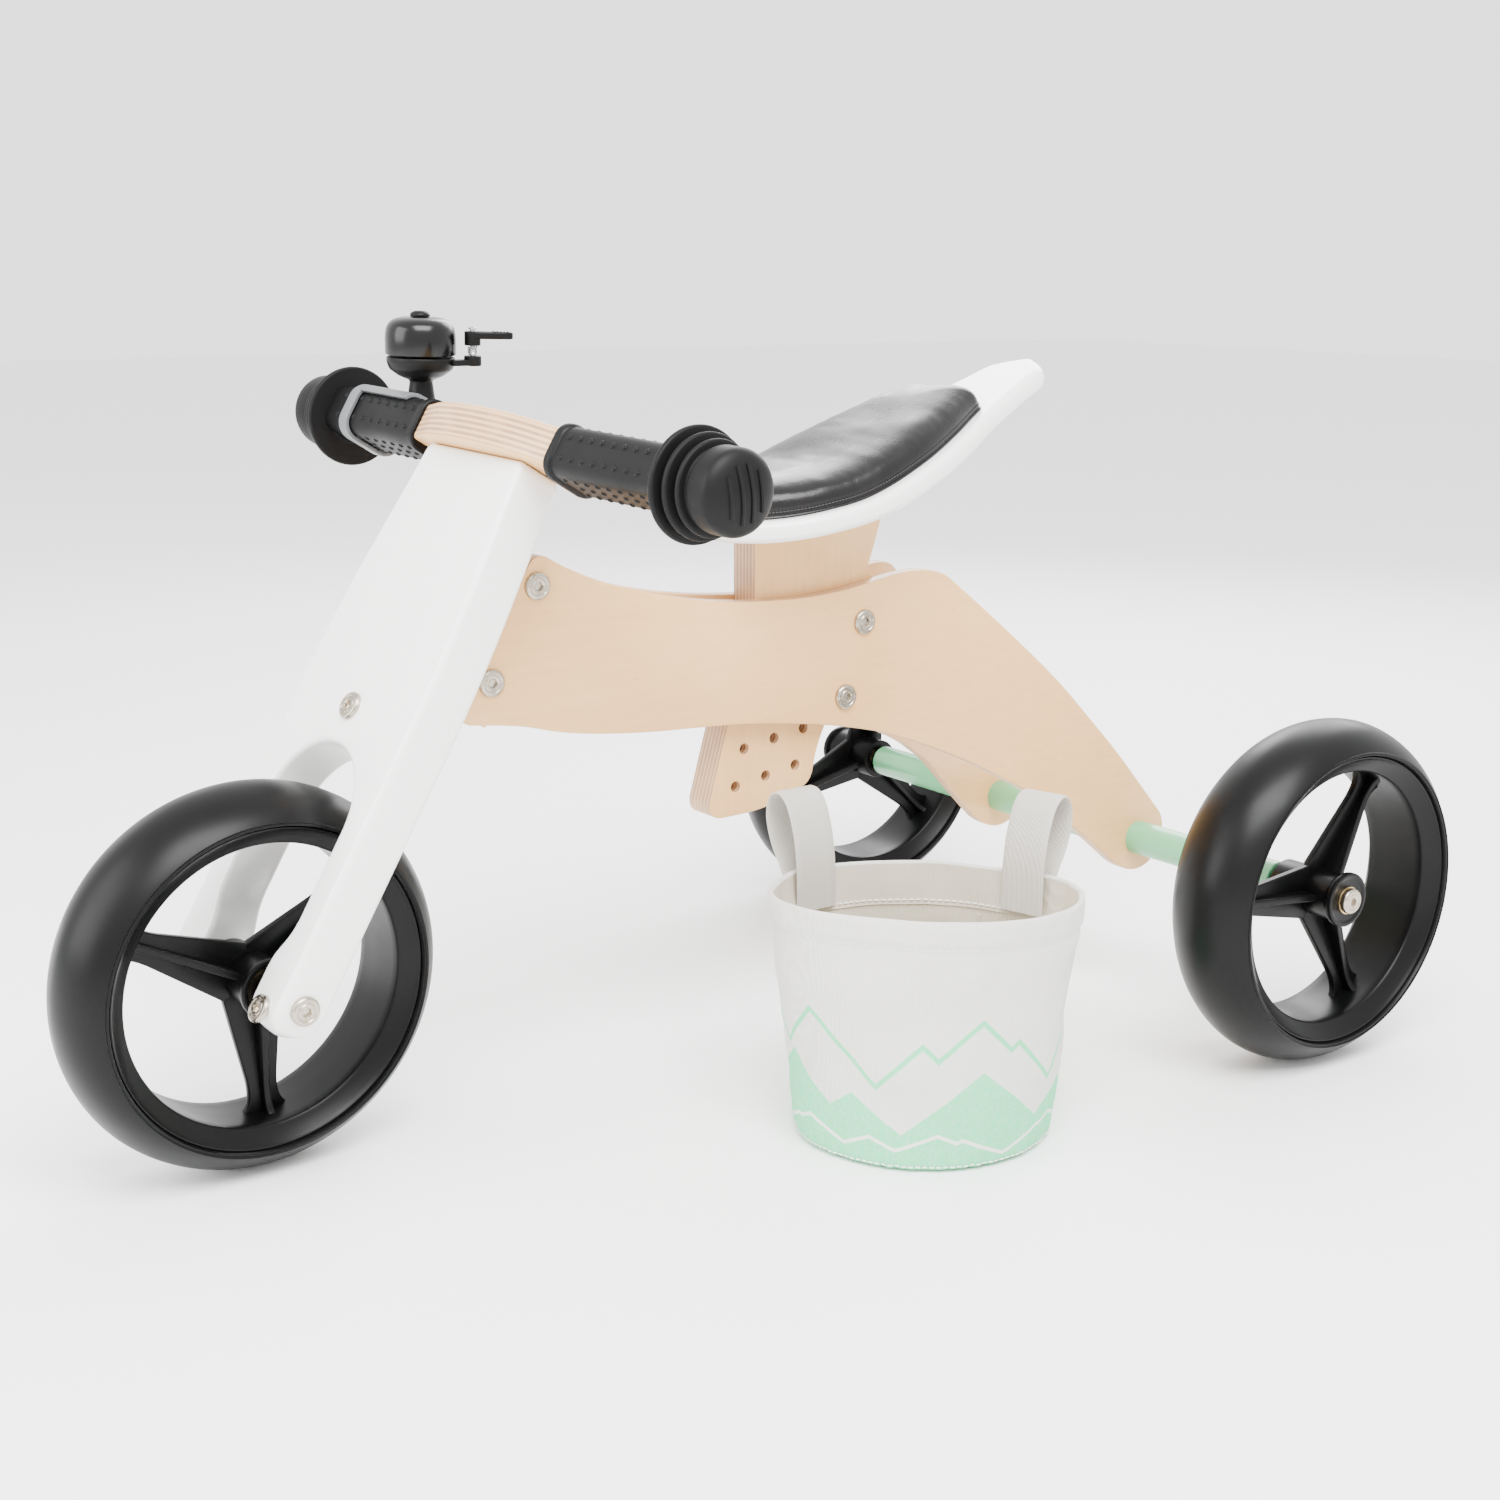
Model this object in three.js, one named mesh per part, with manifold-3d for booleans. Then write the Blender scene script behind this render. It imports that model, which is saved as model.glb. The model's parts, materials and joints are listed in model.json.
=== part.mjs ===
// A child's wooden three-wheel balance bike with a bell, an upholstered saddle and a canvas bucket bag.
// Millimetres, +X forward, +Y to the rider's left, +Z up. The origin is on the ground,
// under the middle of the bike.
import * as THREE from "three";
import { mergeVertices } from "three/addons/utils/BufferGeometryUtils.js";
import Module from "manifold-3d";

const wasm = await Module();
wasm.setup();

// ---------------------------------------------------------------- driving dimensions
const GAP = 0.3;                    // clearance between pieces that touch
const WHEELBASE = 556;
const WHEEL_R = 100;
const TYRE_HALF_W = 33;
const TYRE_BULGE = 27.7;            // how far the tread crown stands out from the tyre's widest part
const RIM_R = 82.8;                 // seat of the tyre on the rim
const RIM_OPEN_R = 73.8;            // inner edge of the rim lip
const RIM_HALF_W = 25;
const HUB_R = 13.5;
const HUB_HALF_W = 25;
const BUSH_R = 6.5;
const ROD_R = 4;                    // axle and steering rods
const REAR_HUB_Y = 209.5;           // middle of each rear wheel
const BEAM_R = 10.4;                // turned wooden beam between the rear wheels
const BEAM_HALF = 183.5;

const HEAD_TILT = THREE.MathUtils.degToRad(30.5);  // fork and steering axis lean back
const STEER_REST = THREE.MathUtils.degToRad(4);    // the bars stand slightly to the left
const STEER_BACK = 27.5;            // steering axis behind the front axle, across the fork
const FORK_T = 27;
const FORK_TOP = 286.3;             // along the fork, above the front axle
const FORK_HALF_W = 58.5;
const SLOT_HALF_W = 39;
const SLOT_ARCH = 84;               // centre of the arch over the wheel
const BAR_T = 20;

const PLY = 9.5;                    // side plate thickness
const POST_T = 21;                  // seat post and head block thickness
const PLATE_IN = POST_T / 2;
const FLARE = 49;                   // how far the plates spread from the post to the rear beam
const FLARE_FRONT = -103;
const FLARE_REAR = -268;

const SEAT_T = 12;
const BOLT_HEAD_R = 7.4;
const BOLT_HEAD_T = 2.6;
const BOLT_SHANK_R = 3;
const SLEEVE_R = 4;

const REAR_X = -WHEELBASE / 2;
const FRONT_X = WHEELBASE / 2;

// in the fork's own frame: x forward across the fork, z up along it, origin at the front axle
const HEAD_BLOCK_LOW = 163;
const HEAD_BLOCK_HIGH = 251;
const HEAD_BOLT_BACK = -43;
const HEAD_BOLT_ALONG = [239.4, 184.3];
const FACE_SCREW_Z = 143;
const UPPER_SCREW_Z = 272;
const PRONG_SCREWS = [[44, -8], [-44, -8]];
const BAR_SCREW_Y = 25;
const BAR_MIDDLE = FORK_TOP + GAP + BAR_T / 2;
const GRIP_CENTRE = -3;
const GRIP_HALF_W = 16.5;
const GRIP_HALF_T = 13.5;
const BELL_Y = -97;
const BELL_BACK = -2;
const BELL_FOOT = 313.5;

// bolt and hole places on the side plates and the seat post, in x and z
const HEAD_BOLTS = HEAD_BOLT_ALONG.map((along) => [
  FRONT_X + HEAD_BOLT_BACK * Math.cos(HEAD_TILT) - along * Math.sin(HEAD_TILT),
  WHEEL_R + HEAD_BOLT_BACK * Math.sin(HEAD_TILT) + along * Math.cos(HEAD_TILT),
]);
const POST_BOLTS = [[-95.5, 246], [-82.5, 203.5]];
const POST_HOLES = [
  [-18.2, 179], [-39.1, 182.6], [-59.9, 186.1], [-12.2, 157.6], [-33.3, 161.2], [-54.3, 164.8],
];
const SEAT_SCREWS = [["front", -45, 262, 318], ["rear", -88, 272, 332]];

const BELL_R = 19;
const LEVER_PIN = [-24, 14];        // from the bell's middle

const BAG_X = -30;
const BAG_Y = 158;
const BAG_TURN = THREE.MathUtils.degToRad(47.8);  // the mouth's narrow way
const BAG_H = 130;
const BAG_R = 69.5;
const BAG_WALL = 2.5;
const MOUTH_NARROW = 0.81;          // the mouth's half-widths as shares of the round bag's radius
const MOUTH_WIDE = 1.14;
const STRAP_W = 26;
const STRAP_T = 2;
const STRAP_PLACES = [["front", -127], ["rear", 138]];  // degrees round the mouth


// ---------------------------------------------------------------- materials
function material(color, roughness, metalness = 0) {
  return new THREE.MeshStandardMaterial({ color, roughness, metalness });
}
const MATERIALS = {
  birch: () => material(0xf0d9b8, 0.55),
  white: () => material(0xf4f3f0, 0.35),
  mint: () => material(0x9fcdae, 0.45),
  tyre: () => material(0x1c1c1d, 0.5),
  plastic: () => material(0x161617, 0.6),
  rubber: () => material(0x1e1e1f, 0.75),
  nickel: () => material(0xc9c2b4, 0.25, 1),
  zinc: () => material(0xa8abad, 0.4, 1),
  bell: () => material(0x0e0d0d, 0.2, 0.3),
  leather: () => material(0x121212, 0.3),
  canvas: () => material(0xdcdcd6, 0.9),
};

// ---------------------------------------------------------------- solids
function solid(geometry) {
  const bare = geometry.index ? geometry.toNonIndexed() : geometry.clone();
  bare.deleteAttribute("normal");
  bare.deleteAttribute("uv");
  const merged = mergeVertices(bare, 1e-4);
  const vertProperties = new Float32Array(merged.attributes.position.array);
  const triVerts = new Uint32Array(merged.index.array);
  return new wasm.Manifold(new wasm.Mesh({ numProp: 3, vertProperties, triVerts }));
}

function geometryOf(body) {
  const mesh = body.getMesh();
  const geometry = new THREE.BufferGeometry();
  geometry.setAttribute("position", new THREE.BufferAttribute(mesh.vertProperties.slice(), 3));
  geometry.setIndex(new THREE.BufferAttribute(mesh.triVerts.slice(), 1));
  return geometry;
}

function piece(parent, name, look, shape) {
  const geometry = shape instanceof THREE.BufferGeometry ? shape : geometryOf(shape);
  const mesh = new THREE.Mesh(geometry, MATERIALS[look]());
  mesh.name = name;
  parent.add(mesh);
  return mesh;
}

function cut(body, ...tools) {
  return tools.reduce((rest, tool) => rest.subtract(tool), body);
}

function join(body, ...others) {
  return others.reduce((sum, other) => sum.add(other), body);
}

function box(x0, x1, y0, y1, z0, z1) {
  const geometry = new THREE.BoxGeometry(x1 - x0, y1 - y0, z1 - z0);
  return solid(geometry.translate((x0 + x1) / 2, (y0 + y1) / 2, (z0 + z1) / 2));
}

// a cylinder along Y from y0 to y1 through (x, z)
function rodY(radius, y0, y1, x = 0, z = 0, sides = 14) {
  const geometry = new THREE.CylinderGeometry(radius, radius, y1 - y0, sides);
  return solid(geometry.translate(x, (y0 + y1) / 2, z));
}

// a cylinder along X from x0 to x1 through (y, z)
function rodX(radius, x0, x1, y = 0, z = 0, sides = 14) {
  const geometry = new THREE.CylinderGeometry(radius, radius, x1 - x0, sides).rotateZ(-Math.PI / 2);
  return solid(geometry.translate((x0 + x1) / 2, y, z));
}

// a cylinder along Z from z0 to z1 through (x, y)
function rodZ(radius, z0, z1, x = 0, y = 0, sides = 14) {
  const geometry = new THREE.CylinderGeometry(radius, radius, z1 - z0, sides).rotateX(Math.PI / 2);
  return solid(geometry.translate(x, y, (z0 + z1) / 2));
}

// a closed profile of [radius, y] points turned about the Y axis
function turnedY(profile, sides) {
  const points = profile.map(([r, y]) => new THREE.Vector2(r, y));
  points.push(points[0].clone());
  const body = solid(new THREE.LatheGeometry(points, sides));
  return body.volume() < 0 ? solid(new THREE.LatheGeometry(points.reverse(), sides)) : body;
}

// a profile of [radius, z] points turned about the Z axis, closed on itself where it leaves the axis
function turned(profile, sides) {
  const points = profile.map(([r, z]) => new THREE.Vector2(r, z));
  if (profile[0][0] > 0) {
    points.push(points[0].clone());
  }
  const body = solid(new THREE.LatheGeometry(points, sides).rotateX(Math.PI / 2));
  return body.volume() < 0
    ? solid(new THREE.LatheGeometry(points.reverse(), sides).rotateX(Math.PI / 2)) : body;
}

// an outline in x and z, as thick as y0 to y1
function slabXZ(shape, y0, y1, curveSegments = 8) {
  const geometry = new THREE.ExtrudeGeometry(shape, {
    depth: y1 - y0, bevelEnabled: false, curveSegments,
  });
  return solid(geometry.rotateX(Math.PI / 2).translate(0, y1, 0));
}

// an outline in x and y, from z0 to z1
function slabXY(shape, z0, z1, curveSegments = 8) {
  const geometry = new THREE.ExtrudeGeometry(shape, {
    depth: z1 - z0, bevelEnabled: false, curveSegments,
  });
  return solid(geometry.translate(0, 0, z0));
}

// an outline in y and z, from x0 to x1, with its edges rounded
function boardYZ(shape, x0, x1, round) {
  const geometry = new THREE.ExtrudeGeometry(shape, {
    depth: x1 - x0 - 2 * round, bevelThickness: round, bevelSize: round, bevelOffset: -round,
    bevelSegments: 1, curveSegments: 3,
  });
  const turn = new THREE.Matrix4().makeBasis(
    new THREE.Vector3(0, 1, 0), new THREE.Vector3(0, 0, 1), new THREE.Vector3(1, 0, 0));
  return solid(geometry.applyMatrix4(turn).translate(x0 + round, 0, 0));
}

function splineShape(points) {
  const shape = new THREE.Shape();
  shape.moveTo(...points[0]);
  shape.splineThru(points.slice(1).map(([x, y]) => new THREE.Vector2(x, y)));
  return shape;
}

function roundedRect(x0, x1, y0, y1, r) {
  const shape = new THREE.Shape();
  shape.moveTo(x0 + r, y0);
  shape.lineTo(x1 - r, y0);
  shape.absarc(x1 - r, y0 + r, r, -Math.PI / 2, 0);
  shape.lineTo(x1, y1 - r);
  shape.absarc(x1 - r, y1 - r, r, 0, Math.PI / 2);
  shape.lineTo(x0 + r, y1);
  shape.absarc(x0 + r, y1 - r, r, Math.PI / 2, Math.PI);
  shape.lineTo(x0, y0 + r);
  shape.absarc(x0 + r, y0 + r, r, Math.PI, 1.5 * Math.PI);
  return shape;
}

// ---------------------------------------------------------------- wheels
function tyreProfile() {
  const crown = [];
  const steps = 4;
  const power = 1.087;
  const limit = THREE.MathUtils.degToRad(60);
  for (let i = -steps; i <= steps; i += 1) {
    const angle = (limit * i) / steps;
    const side = Math.sign(angle) * Math.abs(Math.sin(angle)) ** power;
    const out = WHEEL_R - TYRE_BULGE + TYRE_BULGE * Math.cos(angle) ** power;
    crown.push([out, TYRE_HALF_W * side]);
  }
  const bead = [[RIM_R + GAP, 26], [RIM_R + GAP, -26]];
  return crown.concat(bead);
}

// rim, three webbed spokes and hub, moulded in one piece; spokes at turn, turn + 120, turn + 240 degrees
function rimSolid(turn) {
  const sides = 32;
  const barrel = turnedY([
    [RIM_R, RIM_HALF_W], [RIM_R, -RIM_HALF_W], [RIM_OPEN_R, 5.5 - RIM_HALF_W],
    [RIM_OPEN_R, RIM_HALF_W - 5.5],
  ], sides);
  let body = join(barrel, rodY(HUB_R, -HUB_HALF_W + 3.4, HUB_HALF_W, 0, 0, 16));
  body = join(body, rodY(16, HUB_HALF_W - 3, HUB_HALF_W, 0, 0, 16));
  const web = new THREE.Shape();
  web.moveTo(0, -17);
  web.lineTo(60, -7.5);
  web.quadraticCurveTo(70, -7.5, 74.5, -12);
  web.lineTo(74.5, 12);
  web.quadraticCurveTo(70, 7.5, 60, 7.5);
  web.lineTo(0, 17);
  const rib = new THREE.Shape();
  rib.moveTo(0, -16);
  rib.lineTo(64, -6.5);
  rib.lineTo(74.5, -10);
  rib.lineTo(74.5, 10);
  rib.lineTo(64, 6.5);
  rib.lineTo(0, 16);
  for (let i = 0; i < 3; i += 1) {
    const angle = turn + (i * 360) / 3;
    body = join(body, slabXZ(web, -2, 2, 3).rotate([0, -angle, 0]));
    body = join(body, slabXY(rib, -2, 2, 3).rotate([0, -angle, 0]));
  }
  return cut(body, rodY(BUSH_R + GAP, -40, 40));
}

function wheel(parent, place, turn, outward) {
  piece(parent, `tyre_${place}`, "tyre", turnedY(tyreProfile(), 32));
  const rim = rimSolid(turn);
  piece(parent, `rim_${place}`, "plastic", outward < 0 ? rim.mirror([0, 1, 0]) : rim);
  const bush = cut(
    rodY(BUSH_R, -HUB_HALF_W + 3.4, HUB_HALF_W), rodY(ROD_R + GAP, -40, 40));
  piece(parent, `bush_${place}`, "nickel", outward < 0 ? bush.mirror([0, 1, 0]) : bush);
}

// ---------------------------------------------------------------- fasteners
// a furniture connector bolt and its sleeve nut through the frame, heads on the outer faces
function frameBolt(parent, name, x, z) {
  const face = PLATE_IN + PLY + GAP;
  const socket = rodY(2, face + 0.8, face + 9, x, z, 6);
  const head = rodY(BOLT_HEAD_R, face, face + BOLT_HEAD_T, x, z);
  const shank = rodY(BOLT_SHANK_R - GAP, -8, face + 0.5, x, z, 12);
  piece(parent, `${name}_bolt`, "nickel", cut(join(head, shank), socket));
  const sleeve = join(
    rodY(BOLT_HEAD_R, -face - BOLT_HEAD_T, -face, x, z),
    rodY(SLEEVE_R, -face - 0.5, 4, x, z, 12));
  piece(parent, `${name}_nut`, "nickel", cut(
    sleeve, rodY(BOLT_SHANK_R, -12, 6, x, z, 12), rodY(2, -face - 9, -face - 0.8, x, z, 6)));
}

function frameBoltHole(x, z) {
  return rodY(SLEEVE_R + GAP, -60, 60, x, z, 12);
}

// a dome-headed screw along X, its head in front of the face at x
function faceScrew(x, y, z, depth) {
  const head = rodX(BOLT_HEAD_R, x, x + BOLT_HEAD_T, y, z);
  const shank = rodX(BOLT_SHANK_R, x - depth, x + 0.5, y, z, 12);
  return cut(join(head, shank), rodX(2, x + 0.8, x + 9, y, z, 6));
}

// ---------------------------------------------------------------- frame
function plateOutline() {
  const shape = new THREE.Shape();
  shape.moveTo(REAR_X - 15, 84.5);
  shape.absarc(REAR_X, 102, 22.5, THREE.MathUtils.degToRad(228), THREE.MathUtils.degToRad(150), true);
  shape.splineThru([
    [-243, 173], [-217, 203], [-195, 226], [-176, 245], [-156, 264], [-147, 271],
    [-135, 273.5], [-122, 272.5],
  ].map(([x, z]) => new THREE.Vector2(x, z)));
  shape.splineThru([
    [-100, 268.5], [-75, 265], [-45, 263.5], [-5, 265.5], [35, 271.5], [75, 282], [100, 292], [113, 299],
  ].map(([x, z]) => new THREE.Vector2(x, z)));
  shape.quadraticCurveTo(120, 302, 124, 295);
  shape.lineTo(165, 225);
  shape.quadraticCurveTo(168, 219, 160, 216);
  shape.splineThru([
    [131, 212], [107, 206], [83, 202], [51, 199], [19, 197.5], [-8, 196], [-36, 193], [-64, 189],
    [-94, 183], [-123, 175], [-159, 160], [-183, 147], [-202, 135], [-232, 110], [-258, 87],
  ].map(([x, z]) => new THREE.Vector2(x, z)));
  shape.quadraticCurveTo(-278, 72, REAR_X - 15, 84.5);
  return shape;
}

// how far outside the parallel stretch the plate stands at x
function flareAt(x) {
  const t = THREE.MathUtils.clamp((FLARE_FRONT - x) / (FLARE_FRONT - FLARE_REAR), 0, 1);
  return FLARE * t * t * (3 - 2 * t);
}

// the plate's plan: a strip of ply that runs straight, then bends outwards to the rear beam
function plateStrip() {
  const inner = [];
  const outer = [];
  const steps = 10;
  const slant = 1.06;
  const places = [200];
  for (let i = 0; i <= steps; i += 1) {
    places.push(FLARE_FRONT + ((FLARE_REAR - FLARE_FRONT) * i) / steps);
  }
  places.push(-320);
  for (const x of places) {
    const bent = x < FLARE_FRONT && x > FLARE_REAR;
    inner.push(new THREE.Vector2(x, PLATE_IN + GAP + flareAt(x)));
    outer.push(new THREE.Vector2(x, PLATE_IN + flareAt(x) + PLY * (bent ? slant : 1)));
  }
  return new THREE.Shape(inner.concat(outer.reverse()));
}

function sidePlate() {
  const strip = slabXY(plateStrip(), 60, 320);
  let plate = strip.intersect(slabXZ(plateOutline(), 0, 120, 2));
  for (const [x, z] of HEAD_BOLTS.concat(POST_BOLTS)) {
    plate = cut(plate, frameBoltHole(x, z));
  }
  return cut(plate, rodY(BEAM_R + GAP, 0, 120, REAR_X, WHEEL_R, 24));
}

function seatPost() {
  const shape = new THREE.Shape();
  shape.moveTo(-25, 302);
  shape.lineTo(-25, 262);
  shape.bezierCurveTo(-25, 235, -12, 215, -7, 195);
  shape.lineTo(5.5, 151);
  shape.quadraticCurveTo(7, 141, -3, 140.5);
  shape.lineTo(-18, 141);
  shape.bezierCurveTo(-38, 142, -48, 147, -59, 151);
  shape.quadraticCurveTo(-66, 153, -67.5, 163);
  shape.bezierCurveTo(-72, 190, -97, 215, -106, 245);
  shape.quadraticCurveTo(-114, 262, -110, 270);
  shape.quadraticCurveTo(-105, 273, -106, 277);
  shape.quadraticCurveTo(-111, 291, -124, 325);
  shape.lineTo(-25, 325);
  let post = slabXZ(shape, -PLATE_IN, PLATE_IN, 4);
  for (const [x, z] of POST_HOLES) {
    post = cut(post, rodY(BOLT_SHANK_R, -20, 20, x, z, 12));
  }
  for (const [x, z] of POST_BOLTS) {
    post = cut(post, frameBoltHole(x, z));
  }
  return cut(post, slabXZ(aboveCurve(seatUnder, -GAP), -30, 30, 2));
}

// underside of the saddle board in x and z, nose to tail
const seatUnder = [
  [30, 303], [5, 299.8], [-20, 301], [-47, 305], [-75, 311.5], [-119, 328.5], [-170, 350], [-211, 368],
  [-245, 383],
];

function shifted(line, rise) {
  return line.map(([x, z], i) => {
    const [xa, za] = line[Math.max(0, i - 1)];
    const [xb, zb] = line[Math.min(line.length - 1, i + 1)];
    const length = Math.hypot(xb - xa, zb - za);
    return [x + (rise * (zb - za)) / length, z - (rise * (xb - xa)) / length];
  });
}

function aboveCurve(line, rise) {
  const raised = shifted(line, rise);
  const shape = splineShape(raised);
  shape.lineTo(-260, 460);
  shape.lineTo(60, 460);
  return shape;
}

function betweenCurves(line, low, high) {
  const bottom = shifted(line, low);
  const top = shifted(line, high).reverse();
  const shape = splineShape(bottom);
  shape.lineTo(...top[0]);
  shape.splineThru(top.slice(1).map(([x, z]) => new THREE.Vector2(x, z)));
  return shape;
}

// plan outline of the saddle, inset all round
function seatPlan(inset, tail) {
  const half = [
    [21 - inset, 0], [18 - inset, 18], [8, 36], [-12, 52], [-45, 62], [-85, 65], [-120, 60],
    [-150, 50], [-180, 37], [-210, 28], [-230, 22],
  ].filter(([x]) => x > tail + 14).map(([x, y]) => [x, y === 0 ? 0 : y - inset]);
  const side = half.slice(1);
  const mirrored = side.map(([x, y]) => [x, -y]).reverse();
  return splineShape([half[0], ...side, [tail, 0], ...mirrored, half[0]]);
}

function frame(parent) {
  const plate = sidePlate();
  piece(parent, "side_plate_left", "birch", plate);
  piece(parent, "side_plate_right", "birch", plate.mirror([0, 1, 0]));
  piece(parent, "seat_post", "birch", seatPost());

  const screwHoles = SEAT_SCREWS.map(([, x, z0, z1]) => rodZ(2.5 + GAP, z0, z1 + 20, x, 0, 12));
  const board = slabXZ(betweenCurves(seatUnder, 0, SEAT_T), -80, 80, 2)
    .intersect(slabXY(seatPlan(0, -242), 280, 420, 2));
  const post = parent.getObjectByName("seat_post");
  post.geometry = geometryOf(cut(solid(post.geometry), ...screwHoles));
  piece(parent, "seat_board", "white", cut(board, ...screwHoles));
  const pad = slabXZ(betweenCurves(seatUnder, SEAT_T + GAP, SEAT_T + 16), -80, 80, 2)
    .intersect(slabXY(seatPlan(9, -178), 280, 440, 2));
  piece(parent, "seat_pad", "leather", pad);
  for (const [place, x, z0, z1] of SEAT_SCREWS) {
    piece(parent, `seat_screw_${place}`, "zinc", rodZ(2.5, z0 + 1, z1 - 4, x, 0, 12));
  }

  frameBolt(parent, "head_upper", ...HEAD_BOLTS[0]);
  frameBolt(parent, "head_lower", ...HEAD_BOLTS[1]);
  frameBolt(parent, "post_upper", ...POST_BOLTS[0]);
  frameBolt(parent, "post_lower", ...POST_BOLTS[1]);

  const rodHole = rodY(ROD_R + GAP, -250, 250, REAR_X, WHEEL_R);
  piece(parent, "rear_beam", "mint",
    cut(rodY(BEAM_R, -BEAM_HALF, BEAM_HALF, REAR_X, WHEEL_R, 24), rodHole));
  const end = REAR_HUB_Y + HUB_HALF_W + 1.2;
  piece(parent, "rear_axle_rod", "zinc", cut(
    rodY(ROD_R, -end, end, REAR_X, WHEEL_R),
    rodY(2.5, end - 14, end + 1, REAR_X, WHEEL_R, 12),
    rodY(2.5, -end - 1, -end + 14, REAR_X, WHEEL_R, 12)));
  for (const [side, sign] of [["left", 1], ["right", -1]]) {
    const bolt = axleBolt(end, REAR_X, WHEEL_R);
    piece(parent, `rear_axle_bolt_${side}`, "nickel", sign > 0 ? bolt : bolt.mirror([0, 1, 0]));
    const spacer = cut(rodY(8, BEAM_HALF + GAP, BEAM_HALF + 3.6, REAR_X, WHEEL_R), rodHole);
    piece(parent, `rear_spacer_${side}`, "plastic", sign > 0 ? spacer : spacer.mirror([0, 1, 0]));
  }
}

function axleBolt(end, x, z) {
  const head = rodY(BOLT_HEAD_R, end + GAP, end + 3, x, z);
  const shank = rodY(2.2, end - 12, end + 1, x, z, 12);
  return cut(join(head, shank), rodY(2, end + 1.4, end + 9, x, z, 6));
}

// ---------------------------------------------------------------- head and steering
// everything below is drawn in the fork's own frame: x forward across the fork, z up along it, origin at
// the front axle
function headBlock() {
  const back = -57;
  const shape = new THREE.Shape();
  shape.moveTo(-STEER_BACK, 10.2);
  shape.absarc(-STEER_BACK, 0, 10.2, Math.PI / 2, -Math.PI / 2, true);
  shape.lineTo(back, -10.2);
  shape.lineTo(back, 10.2);
  return slabXY(shape, HEAD_BLOCK_LOW, HEAD_BLOCK_HIGH, 6);
}

function head(parent) {
  const holes = HEAD_BOLT_ALONG.map((z) => rodY(SLEEVE_R + GAP, -20, 20, HEAD_BOLT_BACK, z, 12));
  piece(parent, "head_block", "birch",
    cut(headBlock(), rodZ(ROD_R + GAP, 0, 400, -STEER_BACK, 0), ...holes));
}

// a steel arm that stands out from the back of the fork and holds one end of the steering rod
function steeringBracket(armLow, armHigh, footLow, footHigh, boltZ) {
  const face = -FORK_T / 2 - GAP;
  const arm = join(
    box(-STEER_BACK, face, -10, 10, armLow, armHigh), rodZ(10, armLow, armHigh, -STEER_BACK, 0));
  const foot = box(face - 4, face, -10, 10, footLow, footHigh);
  return cut(join(arm, foot), rodZ(ROD_R + GAP, armLow - 1, armHigh + 1, -STEER_BACK, 0),
    rodX(BOLT_SHANK_R + GAP, face - 10, 0, 0, boltZ, 12));
}

function steering(parent) {
  const low = HEAD_BLOCK_LOW - 2;
  const high = HEAD_BLOCK_HIGH + 2;
  piece(parent, "steering_bracket_lower", "zinc",
    steeringBracket(low - 6, low, FACE_SCREW_Z - 9, low, FACE_SCREW_Z));
  piece(parent, "steering_bracket_upper", "zinc",
    steeringBracket(high, high + 6, high, high + 28, UPPER_SCREW_Z));
  piece(parent, "steering_rod", "zinc", rodZ(ROD_R, low - 10, high + 10, -STEER_BACK, 0));
  const bore = rodZ(ROD_R + GAP, 0, 400, -STEER_BACK, 0);
  piece(parent, "steering_washer", "zinc", cut(rodZ(8, low + GAP, low + 1.7, -STEER_BACK, 0), bore));
  const back = -FORK_T / 2 - GAP - 4;
  const upperScrew = join(
    rodX(5, back - GAP - 2, back - GAP, 0, UPPER_SCREW_Z),
    rodX(BOLT_SHANK_R, back - 1, 4, 0, UPPER_SCREW_Z, 12));
  piece(parent, "steering_bracket_screw", "zinc", upperScrew);
}

function forkOutline() {
  const shape = new THREE.Shape();
  const side = [
    [45, 280], [47.5, 260], [51.5, 232], [55, 204], [57.5, 172], [58.5, 140], [58.5, 60], [58.5, 4],
  ];
  shape.moveTo(40, FORK_TOP);
  shape.quadraticCurveTo(44.5, FORK_TOP, 45, 280);
  shape.splineThru(side.slice(1).map(([y, z]) => new THREE.Vector2(y, z)));
  shape.quadraticCurveTo(58.5, -17, 45, -17);
  shape.quadraticCurveTo(31, -17, 31, -3);
  shape.lineTo(31, 10);
  shape.bezierCurveTo(31, 24, 39, 24, SLOT_HALF_W, 42);
  shape.lineTo(SLOT_HALF_W, SLOT_ARCH);
  shape.absarc(0, SLOT_ARCH, SLOT_HALF_W, 0, Math.PI);
  shape.lineTo(-SLOT_HALF_W, 42);
  shape.bezierCurveTo(-39, 24, -31, 24, -31, 10);
  shape.lineTo(-31, -3);
  shape.quadraticCurveTo(-31, -17, -45, -17);
  shape.quadraticCurveTo(-58.5, -17, -58.5, 4);
  shape.splineThru(side.slice(0, -1).reverse().map(([y, z]) => new THREE.Vector2(-y, z)));
  shape.quadraticCurveTo(-44.5, FORK_TOP, -40, FORK_TOP);
  return shape;
}

function forkBoard() {
  const half = FORK_T / 2;
  const profile = new THREE.Shape();
  profile.moveTo(half, FORK_TOP + 5);
  profile.lineTo(-half, FORK_TOP + 5);
  profile.lineTo(-half, -3.5);
  profile.absarc(0, -3.5, half, Math.PI, 2 * Math.PI);
  const board = boardYZ(forkOutline(), -half, half, 3.5).intersect(slabXZ(profile, -70, 70, 5));
  const axleHole = rodY(ROD_R + GAP, -70, 70);
  const screws = [[0, FACE_SCREW_Z], ...PRONG_SCREWS].map(
    ([y, z]) => rodX(BOLT_SHANK_R + GAP, z < 0 ? 5.2 : -20, 20, y, z, 12));
  const upperHole = rodX(BOLT_SHANK_R + GAP, -20, 5, 0, UPPER_SCREW_Z, 12);
  return cut(board, axleHole, upperHole, ...screws);
}

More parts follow.
